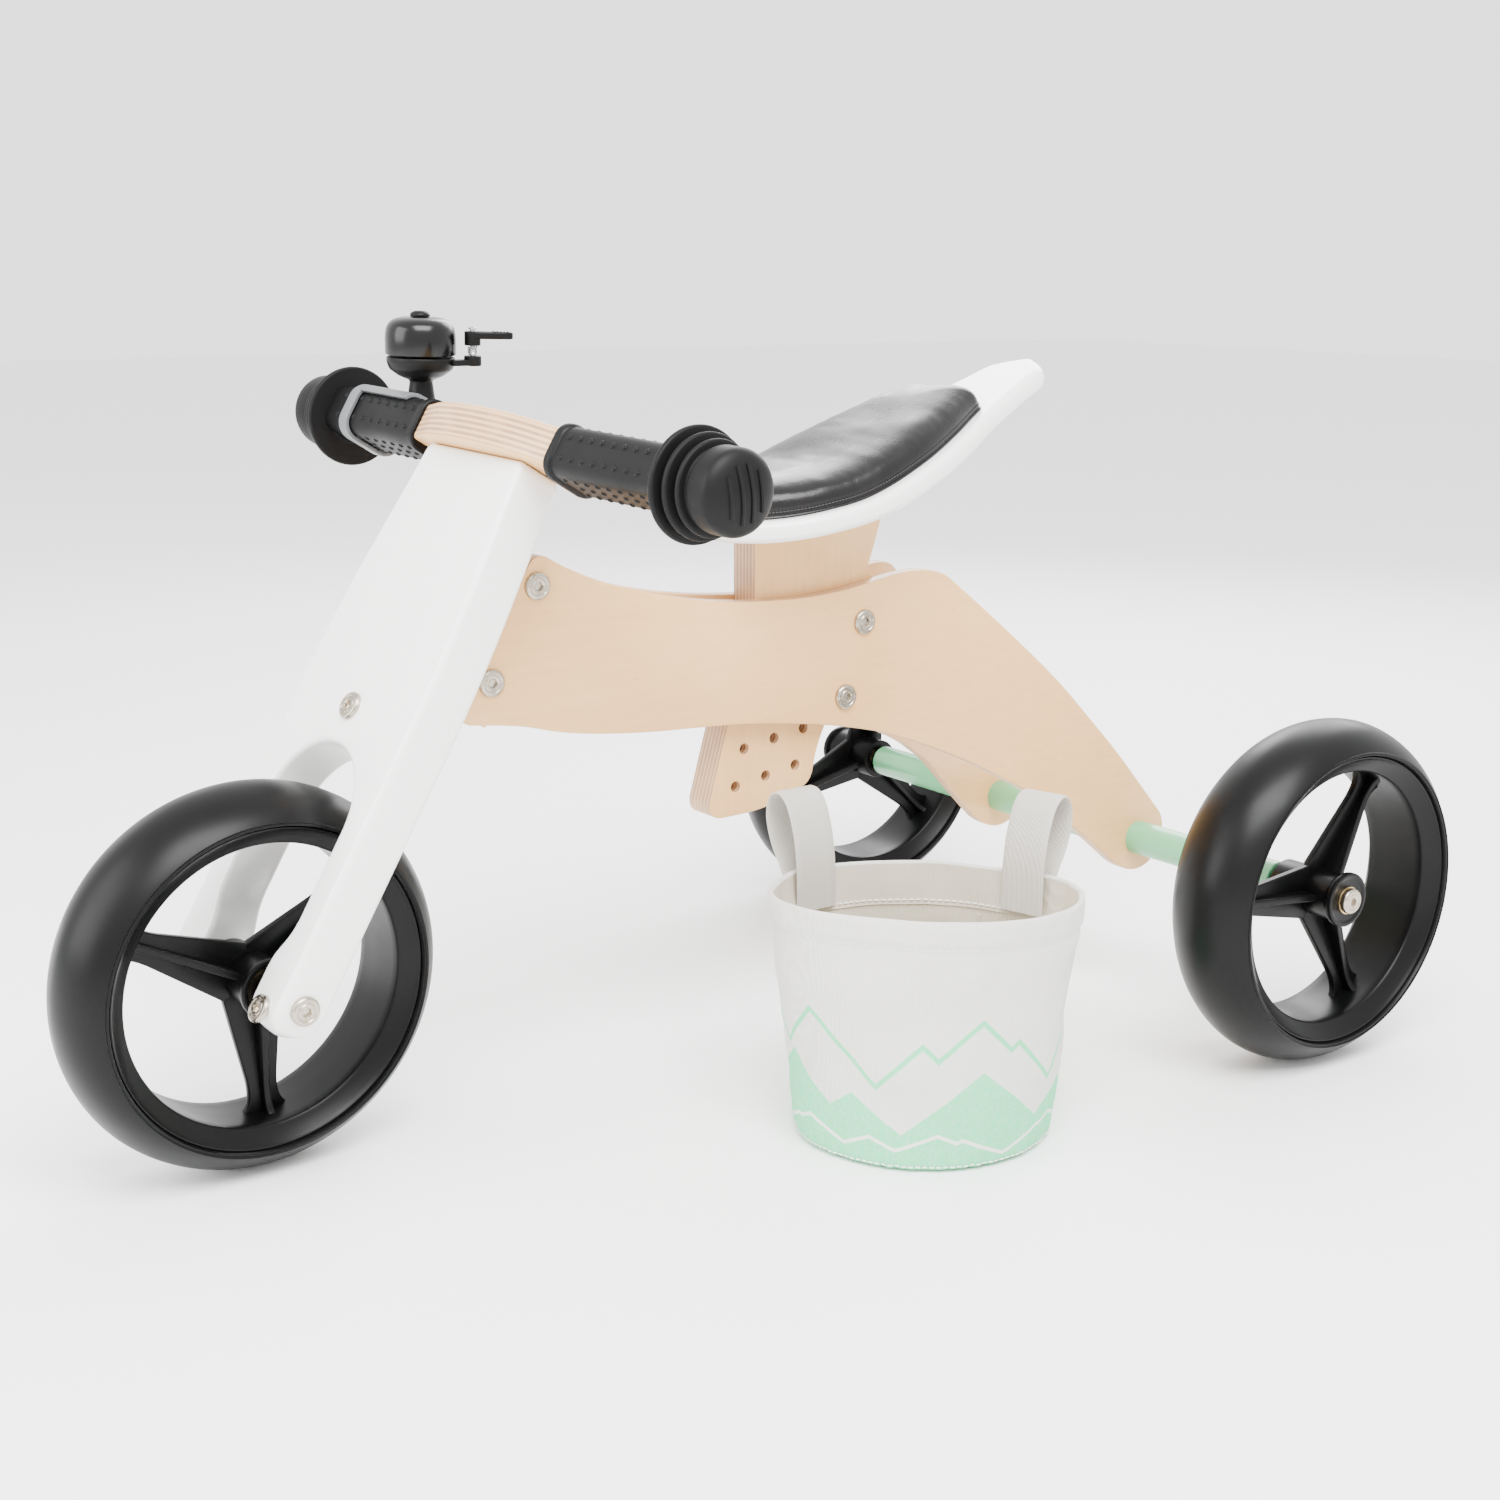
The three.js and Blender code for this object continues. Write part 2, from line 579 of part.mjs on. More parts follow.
function fork(parent) {
  piece(parent, "fork_board", "white", forkBoard());
  const front = FORK_T / 2 + GAP;
  piece(parent, "steering_bracket_bolt", "nickel", faceScrew(front, 0, FACE_SCREW_Z, 20));
  ["left", "right"].forEach((side, i) => {
    piece(parent, `fork_screw_${side}`, "nickel", faceScrew(front, ...PRONG_SCREWS[i], 8));
  });
  const end = FORK_HALF_W;
  piece(parent, "front_axle_rod", "zinc", cut(
    rodY(ROD_R, -end + 0.2, end - 0.2),
    rodY(2.5, end - 14, end + 1, 0, 0, 12),
    rodY(2.5, -end - 1, -end + 14, 0, 0, 12)));
  const bolt = axleBolt(end, 0, 0);
  piece(parent, "front_axle_bolt_left", "nickel", bolt);
  piece(parent, "front_axle_bolt_right", "nickel", bolt.mirror([0, 1, 0]));
}

// ---------------------------------------------------------------- handlebar and grips
function barHalfOutline(sign) {
  return [[24, 0], [23, 20], [19.8, 40], [14, 58], [11.5, 70], [10.5, 120], [9.5, 164], [4, 172], [-10, 172],
    [-15, 164], [-16, 120], [-17, 70], [-18, 40]].map(([x, y]) => [x, sign * y]);
}

function handlebar(parent) {
  const left = barHalfOutline(1);
  const right = barHalfOutline(-1).slice(1).reverse();
  const outline = new THREE.Shape(left.concat(right).map(([x, y]) => new THREE.Vector2(x, y)));
  const bar = slabXY(outline, FORK_TOP + GAP, FORK_TOP + GAP + BAR_T);
  const top = FORK_TOP + GAP + BAR_T;
  const screwPlaces = [["left", BAR_SCREW_Y], ["right", -BAR_SCREW_Y]];
  const screwHoles = screwPlaces.map(([, y]) => rodZ(3 + GAP, top - 70, top + 5, 0, y, 12));
  const forkMesh = parent.getObjectByName("fork_board");
  forkMesh.geometry = geometryOf(cut(solid(forkMesh.geometry), ...screwHoles));
  piece(parent, "handlebar", "birch", cut(bar, ...screwHoles));
  for (const [side, y] of screwPlaces) {
    const screw = join(rodZ(3, top - 66, top + 0.5, 0, y, 12), rodZ(6.5, top + GAP, top + 2.4, 0, y));
    piece(parent, `handlebar_screw_${side}`, "nickel", cut(screw, rodZ(2, top + 1, top + 6, 0, y, 6)));
  }
}

// a rubber grip: ribbed sleeve on the bar's end, three hand-guard discs and a domed end
function gripSolid() {
  const sleeve = gripEnvelope(0, 64, 160);
  const discs = turnedY([
    [0, 150], [12, 150], [13.6, 158], [27.5, 158], [27.5, 161.4], [17, 161.4], [17, 165], [25, 165],
    [25, 168.2], [17, 168.2], [17, 171.6], [22.6, 171.6], [22.6, 174.6], [18, 174.6], [18, 177.6],
    [20.4, 177.6], [20.4, 188], [17.6, 194], [10, 197], [0, 197],
  ], 18).translate([GRIP_CENTRE, 0, BAR_MIDDLE]);
  const hollow = slabXZ(
    roundedRect(-17.6, 15, BAR_MIDDLE - BAR_T / 2 - GAP, BAR_MIDDLE + BAR_T / 2 + GAP, 1), 60, 172.5, 2);
  return cut(join(sleeve, discs), hollow);
}

function grips(parent) {
  const grip = gripSolid();
  piece(parent, "grip_left", "rubber", grip);
  piece(parent, "grip_right", "rubber", grip.mirror([0, 1, 0]));
}

// ---------------------------------------------------------------- bell
// a sleeve round the right grip, grown by so much all round, from y0 to y1
function gripEnvelope(grow, y0, y1) {
  const half = GRIP_HALF_T + grow;
  const side = GRIP_HALF_W + grow;
  return slabXZ(roundedRect(
    GRIP_CENTRE - side, GRIP_CENTRE + side, BAR_MIDDLE - half, BAR_MIDDLE + half, 8 + grow), y0, y1, 3);
}

// the clamp that holds the bell on the right grip, in the fork's frame: a band and a saddle on top
function bellClamp(parent) {
  const band = gripEnvelope(2.7, -138, -130);
  const saddle = gripEnvelope(2.7, -132, -84)
    .intersect(box(-60, 60, -140, -80, BAR_MIDDLE + 9, BAR_MIDDLE + 40));
  piece(parent, "bell_clamp", "plastic", cut(join(band, saddle), gripEnvelope(GAP, -150, -70)));
}

// the bell itself, upright: origin at its foot on the grip
function bell(parent) {
  const base = turned([
    [0, -8], [9, -8], [7, 3], [6, 10], [12, 12.4], [17, 16], [18.4, 20], [18.4, 22.6], [3, 22.6],
    [3, 43.4], [0, 43.4],
  ], 16);
  const arm = join(box(-27, -10, 10.5, 17.5, 18.5, 21.5), rodZ(4.6, 18.5, 23.5, ...LEVER_PIN, 16));
  const pinHole = rodZ(1.6, 20, 50, ...LEVER_PIN, 12);
  const seat = gripEnvelope(2.7 + GAP, -150, -70)
    .translate([-BELL_BACK, -BELL_Y, -BELL_FOOT])
    .rotate([0, -THREE.MathUtils.radToDeg(HEAD_TILT), 0]);
  piece(parent, "bell_base", "plastic", cut(join(base, arm), pinHole, seat));
  const dome = turned([
    [3.4, 43.6], [10, 43.4], [15.5, 41.8], [18.2, 38], [BELL_R, 32], [BELL_R, 23.6], [BELL_R - 1.5, 23.6],
    [BELL_R - 1.6, 32], [16.6, 37.2], [14.4, 40.4], [9.6, 41.8], [3.4, 42],
  ], 18);
  piece(parent, "bell_dome", "bell", dome);
  const capNut = turned([[0, 43.9], [5.4, 43.9], [5, 45.6], [2.6, 46.8], [0, 47]], 12);
  piece(parent, "bell_cap_nut", "plastic", capNut);
  piece(parent, "bell_lever_pin", "zinc", rodZ(1.3, 20.3, 39, ...LEVER_PIN, 12));
  const spring = cut(rodZ(3, 24, 28.6, ...LEVER_PIN, 12), rodZ(1.7, 22, 30, ...LEVER_PIN, 12));
  piece(parent, "bell_spring", "zinc", spring);
}

// thumb lever on its pin, with a ridged tab behind
function bellLever(parent) {
  const tab = new THREE.Shape();
  tab.moveTo(-27, 9);
  tab.lineTo(-40, 19);
  tab.lineTo(-44, 25);
  tab.lineTo(-39, 26);
  tab.lineTo(-24, 20);
  const lever = join(
    rodZ(4.4, 29, 36.5, ...LEVER_PIN, 16), slabXY(tab, 32.5, 36.5));
  piece(parent, "bell_lever", "plastic", cut(lever, rodZ(1.3 + GAP, 20, 50, ...LEVER_PIN, 12)));
}

// ---------------------------------------------------------------- bag
// a round base that opens to an oval mouth
function bagShell() {
  const points = [
    [0, 0], [BAG_R - 5.5, 0], [BAG_R - 1.5, 4], [BAG_R, 20], [BAG_R + 2, BAG_H],
    [BAG_R + 2 - BAG_WALL, BAG_H], [BAG_R - BAG_WALL, 20], [BAG_R - 3.5, 5], [BAG_R - 7.5, 3], [0, 3],
  ];
  const geometry = new THREE.LatheGeometry(points.map(([r, z]) => new THREE.Vector2(r, z)), 28);
  geometry.rotateX(Math.PI / 2);
  const place = geometry.attributes.position;
  for (let i = 0; i < place.count; i += 1) {
    const rise = place.getZ(i) / BAG_H;
    place.setX(i, place.getX(i) * THREE.MathUtils.lerp(1, MOUTH_NARROW, rise));
    place.setY(i, place.getY(i) * THREE.MathUtils.lerp(1, MOUTH_WIDE, rise));
  }
  return solid(geometry);
}

// a webbing loop over the rim, seen along the rim: out from the wall's middle, and up from the rim
const strapLine = [
  [-5.6, -22], [-5.6, -6], [-4.8, 7], [-2, 21], [4, 35], [12, 40.5], [19.5, 37], [22, 26], [17.5, 12],
  [10, 1], [5.8, -8], [4.8, -18],
];

function bagStrap(degrees) {
  const curve = new THREE.SplineCurve(strapLine.map(([x, z]) => new THREE.Vector2(x, z)));
  const steps = 20;
  const sides = [[], []];
  for (let i = 0; i <= steps; i += 1) {
    const middle = curve.getPoint(i / steps);
    const along = curve.getTangent(i / steps);
    const across = new THREE.Vector2(-along.y, along.x).multiplyScalar(STRAP_T / 2);
    sides[0].push(middle.clone().add(across));
    sides[1].push(middle.clone().sub(across));
  }
  const shape = new THREE.Shape(sides[0].concat(sides[1].reverse()));
  const angle = THREE.MathUtils.degToRad(degrees);
  const wall = BAG_R + 2 - BAG_WALL / 2;
  const [narrow, wide] = [wall * MOUTH_NARROW, wall * MOUTH_WIDE];
  const outward = Math.atan2(narrow * Math.sin(angle), wide * Math.cos(angle));
  return slabXZ(shape, -STRAP_W / 2, STRAP_W / 2)
    .rotate([0, 0, THREE.MathUtils.radToDeg(outward)])
    .translate([narrow * Math.cos(angle), wide * Math.sin(angle), BAG_H]);
}

function bag(parent) {
  const shell = bagShell();
  piece(parent, "bag", "canvas", shell.volume() < 0 ? shell.mirror([1, 0, 0]) : shell);
  for (const [place, degrees] of STRAP_PLACES) {
    piece(parent, `bag_strap_${place}`, "canvas", bagStrap(degrees));
  }
}

// ---------------------------------------------------------------- assembly
const bike = new THREE.Group();
bike.name = "balance_bike";
frame(bike);

for (const [side, sign, turn] of [["left", 1, 3], ["right", -1, -18]]) {
  const hub = new THREE.Group();
  hub.position.set(REAR_X, sign * REAR_HUB_Y, WHEEL_R);
  bike.add(hub);
  wheel(hub, `rear_${side}`, turn, sign);
}

function forkFrame(parent) {
  const group = new THREE.Group();
  group.position.set(FRONT_X, 0, WHEEL_R);
  group.rotation.y = -HEAD_TILT;
  parent.add(group);
  return group;
}

head(forkFrame(bike));

const steer = forkFrame(bike);
const turntable = new THREE.Group();
turntable.position.x = -STEER_BACK;
turntable.rotation.z = STEER_REST;
steer.add(turntable);
const turning = new THREE.Group();
turning.position.x = STEER_BACK;
turntable.add(turning);

steering(turning);
fork(turning);
handlebar(turning);
grips(turning);
bellClamp(turning);

const bellGroup = new THREE.Group();
bellGroup.position.set(BELL_BACK, BELL_Y, BELL_FOOT);
bellGroup.rotation.y = HEAD_TILT;
turning.add(bellGroup);
bell(bellGroup);
bellLever(bellGroup);

const frontHub = new THREE.Group();
frontHub.rotation.y = HEAD_TILT;
turning.add(frontHub);
wheel(frontHub, "front", 26, 1);

const bagGroup = new THREE.Group();
bagGroup.position.set(BAG_X, BAG_Y, 0);
bagGroup.rotation.z = BAG_TURN;
bike.add(bagGroup);
bag(bagGroup);

export default bike;
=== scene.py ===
import json
import math

import bmesh
import bpy
from mathutils import Matrix, Vector, noise
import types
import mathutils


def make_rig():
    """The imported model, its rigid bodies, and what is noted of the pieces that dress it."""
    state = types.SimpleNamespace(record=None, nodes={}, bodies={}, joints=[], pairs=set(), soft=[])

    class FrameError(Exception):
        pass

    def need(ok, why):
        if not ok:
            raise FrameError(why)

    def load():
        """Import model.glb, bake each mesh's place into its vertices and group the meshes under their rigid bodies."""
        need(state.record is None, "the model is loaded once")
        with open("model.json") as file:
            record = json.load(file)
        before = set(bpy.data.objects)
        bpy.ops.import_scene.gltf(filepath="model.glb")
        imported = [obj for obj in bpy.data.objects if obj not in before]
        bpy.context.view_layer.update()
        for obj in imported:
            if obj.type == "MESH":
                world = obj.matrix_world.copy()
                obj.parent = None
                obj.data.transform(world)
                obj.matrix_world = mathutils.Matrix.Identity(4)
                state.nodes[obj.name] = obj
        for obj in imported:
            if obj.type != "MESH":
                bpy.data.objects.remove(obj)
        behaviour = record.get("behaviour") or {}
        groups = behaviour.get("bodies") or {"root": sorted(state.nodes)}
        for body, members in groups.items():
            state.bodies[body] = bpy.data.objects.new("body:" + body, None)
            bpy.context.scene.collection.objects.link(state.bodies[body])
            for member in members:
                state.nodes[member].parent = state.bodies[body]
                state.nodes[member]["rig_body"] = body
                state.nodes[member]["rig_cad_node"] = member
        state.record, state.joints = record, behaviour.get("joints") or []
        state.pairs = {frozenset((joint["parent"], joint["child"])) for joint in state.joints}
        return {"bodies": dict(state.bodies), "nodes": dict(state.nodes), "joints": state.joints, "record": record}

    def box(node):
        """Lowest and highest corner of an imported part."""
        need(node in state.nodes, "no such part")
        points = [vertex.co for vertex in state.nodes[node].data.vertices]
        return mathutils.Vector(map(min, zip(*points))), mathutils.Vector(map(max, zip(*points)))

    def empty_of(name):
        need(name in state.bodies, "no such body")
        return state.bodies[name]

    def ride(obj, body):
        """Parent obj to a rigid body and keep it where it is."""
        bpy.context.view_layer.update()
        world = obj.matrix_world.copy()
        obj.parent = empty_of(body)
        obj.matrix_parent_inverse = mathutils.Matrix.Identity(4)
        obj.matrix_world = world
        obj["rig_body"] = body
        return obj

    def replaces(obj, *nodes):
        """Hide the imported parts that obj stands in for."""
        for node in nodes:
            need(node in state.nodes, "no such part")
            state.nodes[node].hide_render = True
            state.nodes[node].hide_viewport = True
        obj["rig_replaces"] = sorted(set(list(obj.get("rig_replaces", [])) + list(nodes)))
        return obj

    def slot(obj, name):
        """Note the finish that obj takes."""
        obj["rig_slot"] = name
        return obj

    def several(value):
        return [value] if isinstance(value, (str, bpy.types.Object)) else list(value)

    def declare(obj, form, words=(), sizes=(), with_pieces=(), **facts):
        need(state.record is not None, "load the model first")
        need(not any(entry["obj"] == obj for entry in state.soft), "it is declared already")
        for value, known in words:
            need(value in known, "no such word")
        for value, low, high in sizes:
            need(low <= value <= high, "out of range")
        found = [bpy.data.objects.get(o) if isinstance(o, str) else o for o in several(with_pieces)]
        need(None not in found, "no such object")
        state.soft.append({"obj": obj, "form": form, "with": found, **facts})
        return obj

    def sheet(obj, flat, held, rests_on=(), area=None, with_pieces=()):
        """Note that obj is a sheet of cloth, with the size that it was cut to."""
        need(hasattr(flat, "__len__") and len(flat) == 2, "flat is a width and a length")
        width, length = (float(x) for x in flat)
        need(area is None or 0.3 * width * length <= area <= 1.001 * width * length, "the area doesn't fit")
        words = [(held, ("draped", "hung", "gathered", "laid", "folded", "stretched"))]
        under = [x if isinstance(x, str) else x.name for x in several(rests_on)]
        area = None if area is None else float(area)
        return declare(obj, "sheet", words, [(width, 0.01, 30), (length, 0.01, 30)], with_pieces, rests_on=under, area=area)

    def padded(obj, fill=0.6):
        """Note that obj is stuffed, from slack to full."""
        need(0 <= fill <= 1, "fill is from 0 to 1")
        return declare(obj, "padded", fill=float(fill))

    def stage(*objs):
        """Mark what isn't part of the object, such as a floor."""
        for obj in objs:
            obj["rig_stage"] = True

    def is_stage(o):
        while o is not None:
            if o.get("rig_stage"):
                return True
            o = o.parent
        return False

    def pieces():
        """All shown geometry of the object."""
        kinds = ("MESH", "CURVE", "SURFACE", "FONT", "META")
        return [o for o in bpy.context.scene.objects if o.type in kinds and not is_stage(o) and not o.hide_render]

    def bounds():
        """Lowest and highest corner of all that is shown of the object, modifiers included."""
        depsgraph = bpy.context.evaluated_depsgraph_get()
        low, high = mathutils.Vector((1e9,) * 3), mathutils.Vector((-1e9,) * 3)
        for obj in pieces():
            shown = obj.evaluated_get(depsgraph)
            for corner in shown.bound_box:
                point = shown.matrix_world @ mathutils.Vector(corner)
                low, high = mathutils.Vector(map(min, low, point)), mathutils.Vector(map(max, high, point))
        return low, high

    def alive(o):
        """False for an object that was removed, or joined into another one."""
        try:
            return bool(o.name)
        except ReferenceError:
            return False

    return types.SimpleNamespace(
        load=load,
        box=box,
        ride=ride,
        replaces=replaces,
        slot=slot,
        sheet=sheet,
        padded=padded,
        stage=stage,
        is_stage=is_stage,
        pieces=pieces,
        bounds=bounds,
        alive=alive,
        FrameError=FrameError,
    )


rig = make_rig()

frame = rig.load()
cad_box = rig.bounds()

# ---------------------------------------------------------------- sizes, as in the frame
MM = 0.001
WHEEL_R = 100.0
TYRE_HALF_W = 33.0
TYRE_BULGE = 27.7
HUB_R = 13.5
REAR_X = -278.0
BEAM_R = 10.4
BEAM_HALF = 183.5
FORK_T = 27.0
FORK_TOP = 286.3
SLOT_HALF_W = 39.0
SLOT_ARCH = 84.0
BAR_LOW = 286.6
BAR_T = 20.0
BAR_MIDDLE = BAR_LOW + BAR_T / 2
PLY = 9.2
PLATE_IN = 10.8
FLARE = 49.0
FLARE_FRONT = -103.0
FLARE_REAR = -268.0
POST_HALF = 10.5
SEAT_T = 12.0
GRIP_CENTRE = -3.0
GRIP_HALF_W = 16.5
GRIP_HALF_T = 13.5
BELL_FOOT = (-2.0, -97.0, 313.5)
LEVER_PIN = (-24.0, 14.0)
BAG_PLACE = (-30.0, 158.0, 0.0)
BAG_TURN = math.radians(47.8)
BAG_H = 130.0
MOUTH_NARROW = 0.81
MOUTH_WIDE = 1.14
STRAP_W = 26.0
STRAP_PLACES = (("front", -127), ("rear", 138))

joints = {joint["name"]: joint for joint in frame["joints"]}


def basis(x, y, z, origin):
    """From local millimetres to the row frame in metres."""
    matrix = Matrix((x, y, z)).transposed().to_4x4()
    matrix.translation = origin
    return matrix @ Matrix.Scale(MM, 4)


WORLD = Matrix.Scale(MM, 4)
steer_up = Vector(joints["steering"]["axis"]).normalized()
fork_across = Vector(joints["front_wheel"]["axis"]).normalized()
front_axle = Vector(joints["front_wheel"]["pos_m"])
bell_up = Vector(joints["bell_lever"]["axis"]).normalized()
FORK = basis(fork_across.cross(steer_up), fork_across, steer_up, front_axle)
FRONT_HUB = basis(fork_across.cross(bell_up), fork_across, bell_up, front_axle)
BELL = basis(fork_across.cross(bell_up), fork_across, bell_up, FORK @ Vector(BELL_FOOT))
BAG = WORLD @ Matrix.Translation(BAG_PLACE) @ Matrix.Rotation(BAG_TURN, 4, "Z")
LEFT_HUB = WORLD @ Matrix.Translation((REAR_X, 209.5, WHEEL_R))
RIGHT_HUB = WORLD @ Matrix.Translation((REAR_X, -209.5, WHEEL_R)) @ Matrix.Scale(-1, 4, (0, 1, 0))


# ---------------------------------------------------------------- node materials
COLOUR_A, COLOUR_B, COLOUR_OUT = 6, 7, 2      # a mix node's colour sockets


class Look:
    """A procedural material, built from its base colour, roughness and a few layers."""

    def __init__(self, name, colour, roughness, metallic=0.0, **sockets):
        self.material = bpy.data.materials.new(name)
        self.material.use_nodes = True
        self.material.diffuse_color = (*colour, 1)
        self.tree = self.material.node_tree
        self.shader = self.tree.nodes["Principled BSDF"]
        self.colour = colour
        self.shader.inputs["Base Color"].default_value = (*colour, 1)
        self.shader.inputs["Roughness"].default_value = roughness
        self.shader.inputs["Metallic"].default_value = metallic
        for key, value in sockets.items():
            self.shader.inputs[key.replace("_", " ")].default_value = value
        self.height = None
        self.base = None

    def node(self, kind, inputs=None, **settings):
        node = self.tree.nodes.new(kind)
        for key, value in settings.items():
            setattr(node, key, value)
        for key, value in (inputs or {}).items():
            if isinstance(value, bpy.types.NodeSocket):
                self.tree.links.new(value, node.inputs[key])
            else:
                node.inputs[key].default_value = value
        return node

    def place(self, stretch=(1, 1, 1)):
        """Object coordinates in metres, stretched."""
        coords = self.node("ShaderNodeTexCoord").outputs["Object"]
        return self.node("ShaderNodeMapping", {"Vector": coords, "Scale": stretch}).outputs["Vector"]

    def along(self, coords, direction):
        """How far a point (or a normal) reaches along a direction."""
        source = self.node("ShaderNodeTexCoord").outputs[coords]
        return self.node("ShaderNodeVectorMath", {0: source, 1: tuple(direction)},
                         operation="DOT_PRODUCT").outputs["Value"]

    def noise(self, scale, stretch=(1, 1, 1), detail=3.0, distortion=0.0):
        return self.node("ShaderNodeTexNoise", {
            "Vector": self.place(stretch), "Scale": scale, "Detail": detail, "Distortion": distortion,
        }).outputs["Fac"]

    def remap(self, value, low, high, to_low=0.0, to_high=1.0, smooth=False):
        return self.node("ShaderNodeMapRange", {
            "Value": value, "From Min": low, "From Max": high, "To Min": to_low, "To Max": to_high,
        }, interpolation_type="SMOOTHSTEP" if smooth else "LINEAR").outputs["Result"]

    def math(self, operation, a, b=0.0):
        return self.node("ShaderNodeMath", {0: a, 1: b}, operation=operation).outputs[0]

    def tint(self, factor, colour):
        """Lays colour over the base where factor is 1."""
        under = self.base if self.base else (*self.colour, 1)
        mixed = self.node("ShaderNodeMix", {0: factor, COLOUR_A: under, COLOUR_B: (*colour, 1)},
                          data_type="RGBA")
        self.base = mixed.outputs[COLOUR_OUT]
        self.tree.links.new(self.base, self.shader.inputs["Base Color"])
        return self

    def raise_by(self, value, distance, strength=1.0):
        """Adds a bump of so many metres where value goes from 0 to 1."""
        inputs = {"Height": value, "Distance": distance, "Strength": strength}
        if self.height:
            inputs["Normal"] = self.height
        self.height = self.node("ShaderNodeBump", inputs).outputs["Normal"]
        self.tree.links.new(self.height, self.shader.inputs["Normal"])
        return self

    def roughen(self, value, low, high):
        self.tree.links.new(self.remap(value, 0.3, 0.7, low, high), self.shader.inputs["Roughness"])
        return self


def darker(colour, share):
    return tuple(c * share for c in colour)


BIRCH = (0.74, 0.42, 0.16)
BIRCH_DARK = (0.45, 0.24, 0.10)
PLY_LIGHT = (0.62, 0.38, 0.20)
PLY_DARK = (0.22, 0.11, 0.06)


def birch(name, layer, layers, along, through):
    """Birch veneer with faint streaks and flecks; the ply's layers show on its edges.

    layer gives a socket from 0 to 1 through the sheet's thickness, whose direction is through."""
    look = Look(name, BIRCH, 0.42, Coat_Weight=0.25, Coat_Roughness=0.25)
    streak = look.noise(9.0, along, 6.0, 0.6)
    cloud = look.noise(14.0, (1.0, 1.0, 1.0), 2.0)
    fleck = look.noise(60.0, (along[0] * 0.6, along[1] * 0.6, along[2] * 0.6), 2.0)
    look.tint(look.remap(streak, 0.35, 0.75, 0.0, 0.42), (0.60, 0.32, 0.12))
    look.tint(look.remap(cloud, 0.42, 0.72, 0.0, 0.35), (0.80, 0.50, 0.23))
    look.tint(look.remap(fleck, 0.70, 0.80, 0.0, 0.55), BIRCH_DARK)
    facing = look.math("ABSOLUTE", look.along("Normal", through))
    edge = look.remap(facing, 0.55, 0.35, 0.0, 1.0)
    wave = look.math("SINE", look.math("MULTIPLY", layer(look), 2 * math.pi * layers))
    band = look.remap(wave, -0.5, 0.5, 0.0, 1.0)
    worn = look.math("MULTIPLY", band, look.remap(look.noise(90.0, (1, 1, 1), 3.0), 0.3, 0.6, 0.6, 1.0))
    look.tint(look.math("MULTIPLY", edge, 0.85), PLY_LIGHT)
    look.tint(look.math("MULTIPLY", edge, look.math("MULTIPLY", worn, 0.75)), PLY_DARK)
    look.raise_by(streak, 0.0002, 0.25)
    look.roughen(streak, 0.36, 0.5)
    return look.material


def plate_layer(look):
    """How far through the bent side plate a point lies."""
    x = look.along("Object", (1, 0, 0))
    bend = look.remap(x, FLARE_FRONT * MM, FLARE_REAR * MM, 0.0, FLARE * MM, smooth=True)
    off = look.math("SUBTRACT", look.math("ABSOLUTE", look.along("Object", (0, 1, 0))), bend)
    return look.remap(off, PLATE_IN * MM, (PLATE_IN + PLY) * MM)


def post_layer(look):
    return look.remap(look.along("Object", (0, 1, 0)), -POST_HALF * MM, POST_HALF * MM)


def bar_layer(look):
    low = (FORK @ Vector((0, 0, BAR_LOW))).dot(steer_up)
    return look.remap(look.along("Object", steer_up), low, low + BAR_T * MM)


def satin(name, colour, roughness, grain=0.12, **sockets):
    """Moulded or painted: faint unevenness in colour, gloss and surface."""
    look = Look(name, colour, roughness, **sockets)
    cloud = look.noise(26.0, (1, 1, 1), 4.0)
    fine = look.noise(900.0, (1, 1, 1), 2.0)
    look.tint(look.remap(cloud, 0.35, 0.7, 0.0, 0.5), darker(colour, 1.0 - grain))
    look.raise_by(fine, 0.00004, 0.25)
    look.roughen(cloud, roughness * 0.85, min(1.0, roughness * 1.2))
    return look


def lacquer(name, colour, roughness=0.3):
    """Lacquered wood: a smooth coat with a soft orange peel, a shade deeper in places."""
    look = Look(name, colour, roughness, Coat_Weight=0.5, Coat_Roughness=0.12)
    cloud = look.noise(9.0, (1, 1, 1), 2.0)
    look.tint(look.remap(cloud, 0.4, 0.75, 0.0, 0.4), darker(colour, 0.94))
    look.raise_by(look.noise(140.0, (1, 1, 1), 2.0), 0.00015, 0.18)
    look.raise_by(look.noise(30.0, (1, 12, 12), 3.0), 0.00012, 0.12)
    look.roughen(cloud, roughness * 0.85, roughness * 1.15)
    return look.material


def metal(name, colour, roughness):
    """Plated steel with fine brushing and dull spots."""
    look = Look(name, colour, roughness, 1.0)
    fine = look.noise(700.0, (1, 1, 4), 3.0)
    look.tint(look.remap(look.noise(120.0, (1, 1, 1), 3.0), 0.45, 0.75, 0.0, 0.5), darker(colour, 0.72))
    look.raise_by(fine, 0.00003, 0.25)
    look.roughen(fine, roughness * 0.7, roughness * 1.4)
    return look.material


def leatherette():
    """Black coated cloth: fine grain, soft creases, a wet gloss."""
    look = Look("leatherette", (0.0035, 0.003, 0.003), 0.26, Specular_IOR_Level=0.28)
    cells = look.node("ShaderNodeTexVoronoi", {"Vector": look.place(), "Scale": 900.0}).outputs["Distance"]
    crease = look.noise(38.0, (1.0, 2.2, 1.0), 4.0, 0.4)
    look.tint(look.remap(crease, 0.5, 0.8, 0.0, 0.4), (0.008, 0.007, 0.007))
    look.raise_by(look.remap(cells, 0.0, 0.8), 0.00012, 0.35)
    look.raise_by(crease, 0.0004, 0.15)
    look.roughen(crease, 0.22, 0.34)
    return look.material


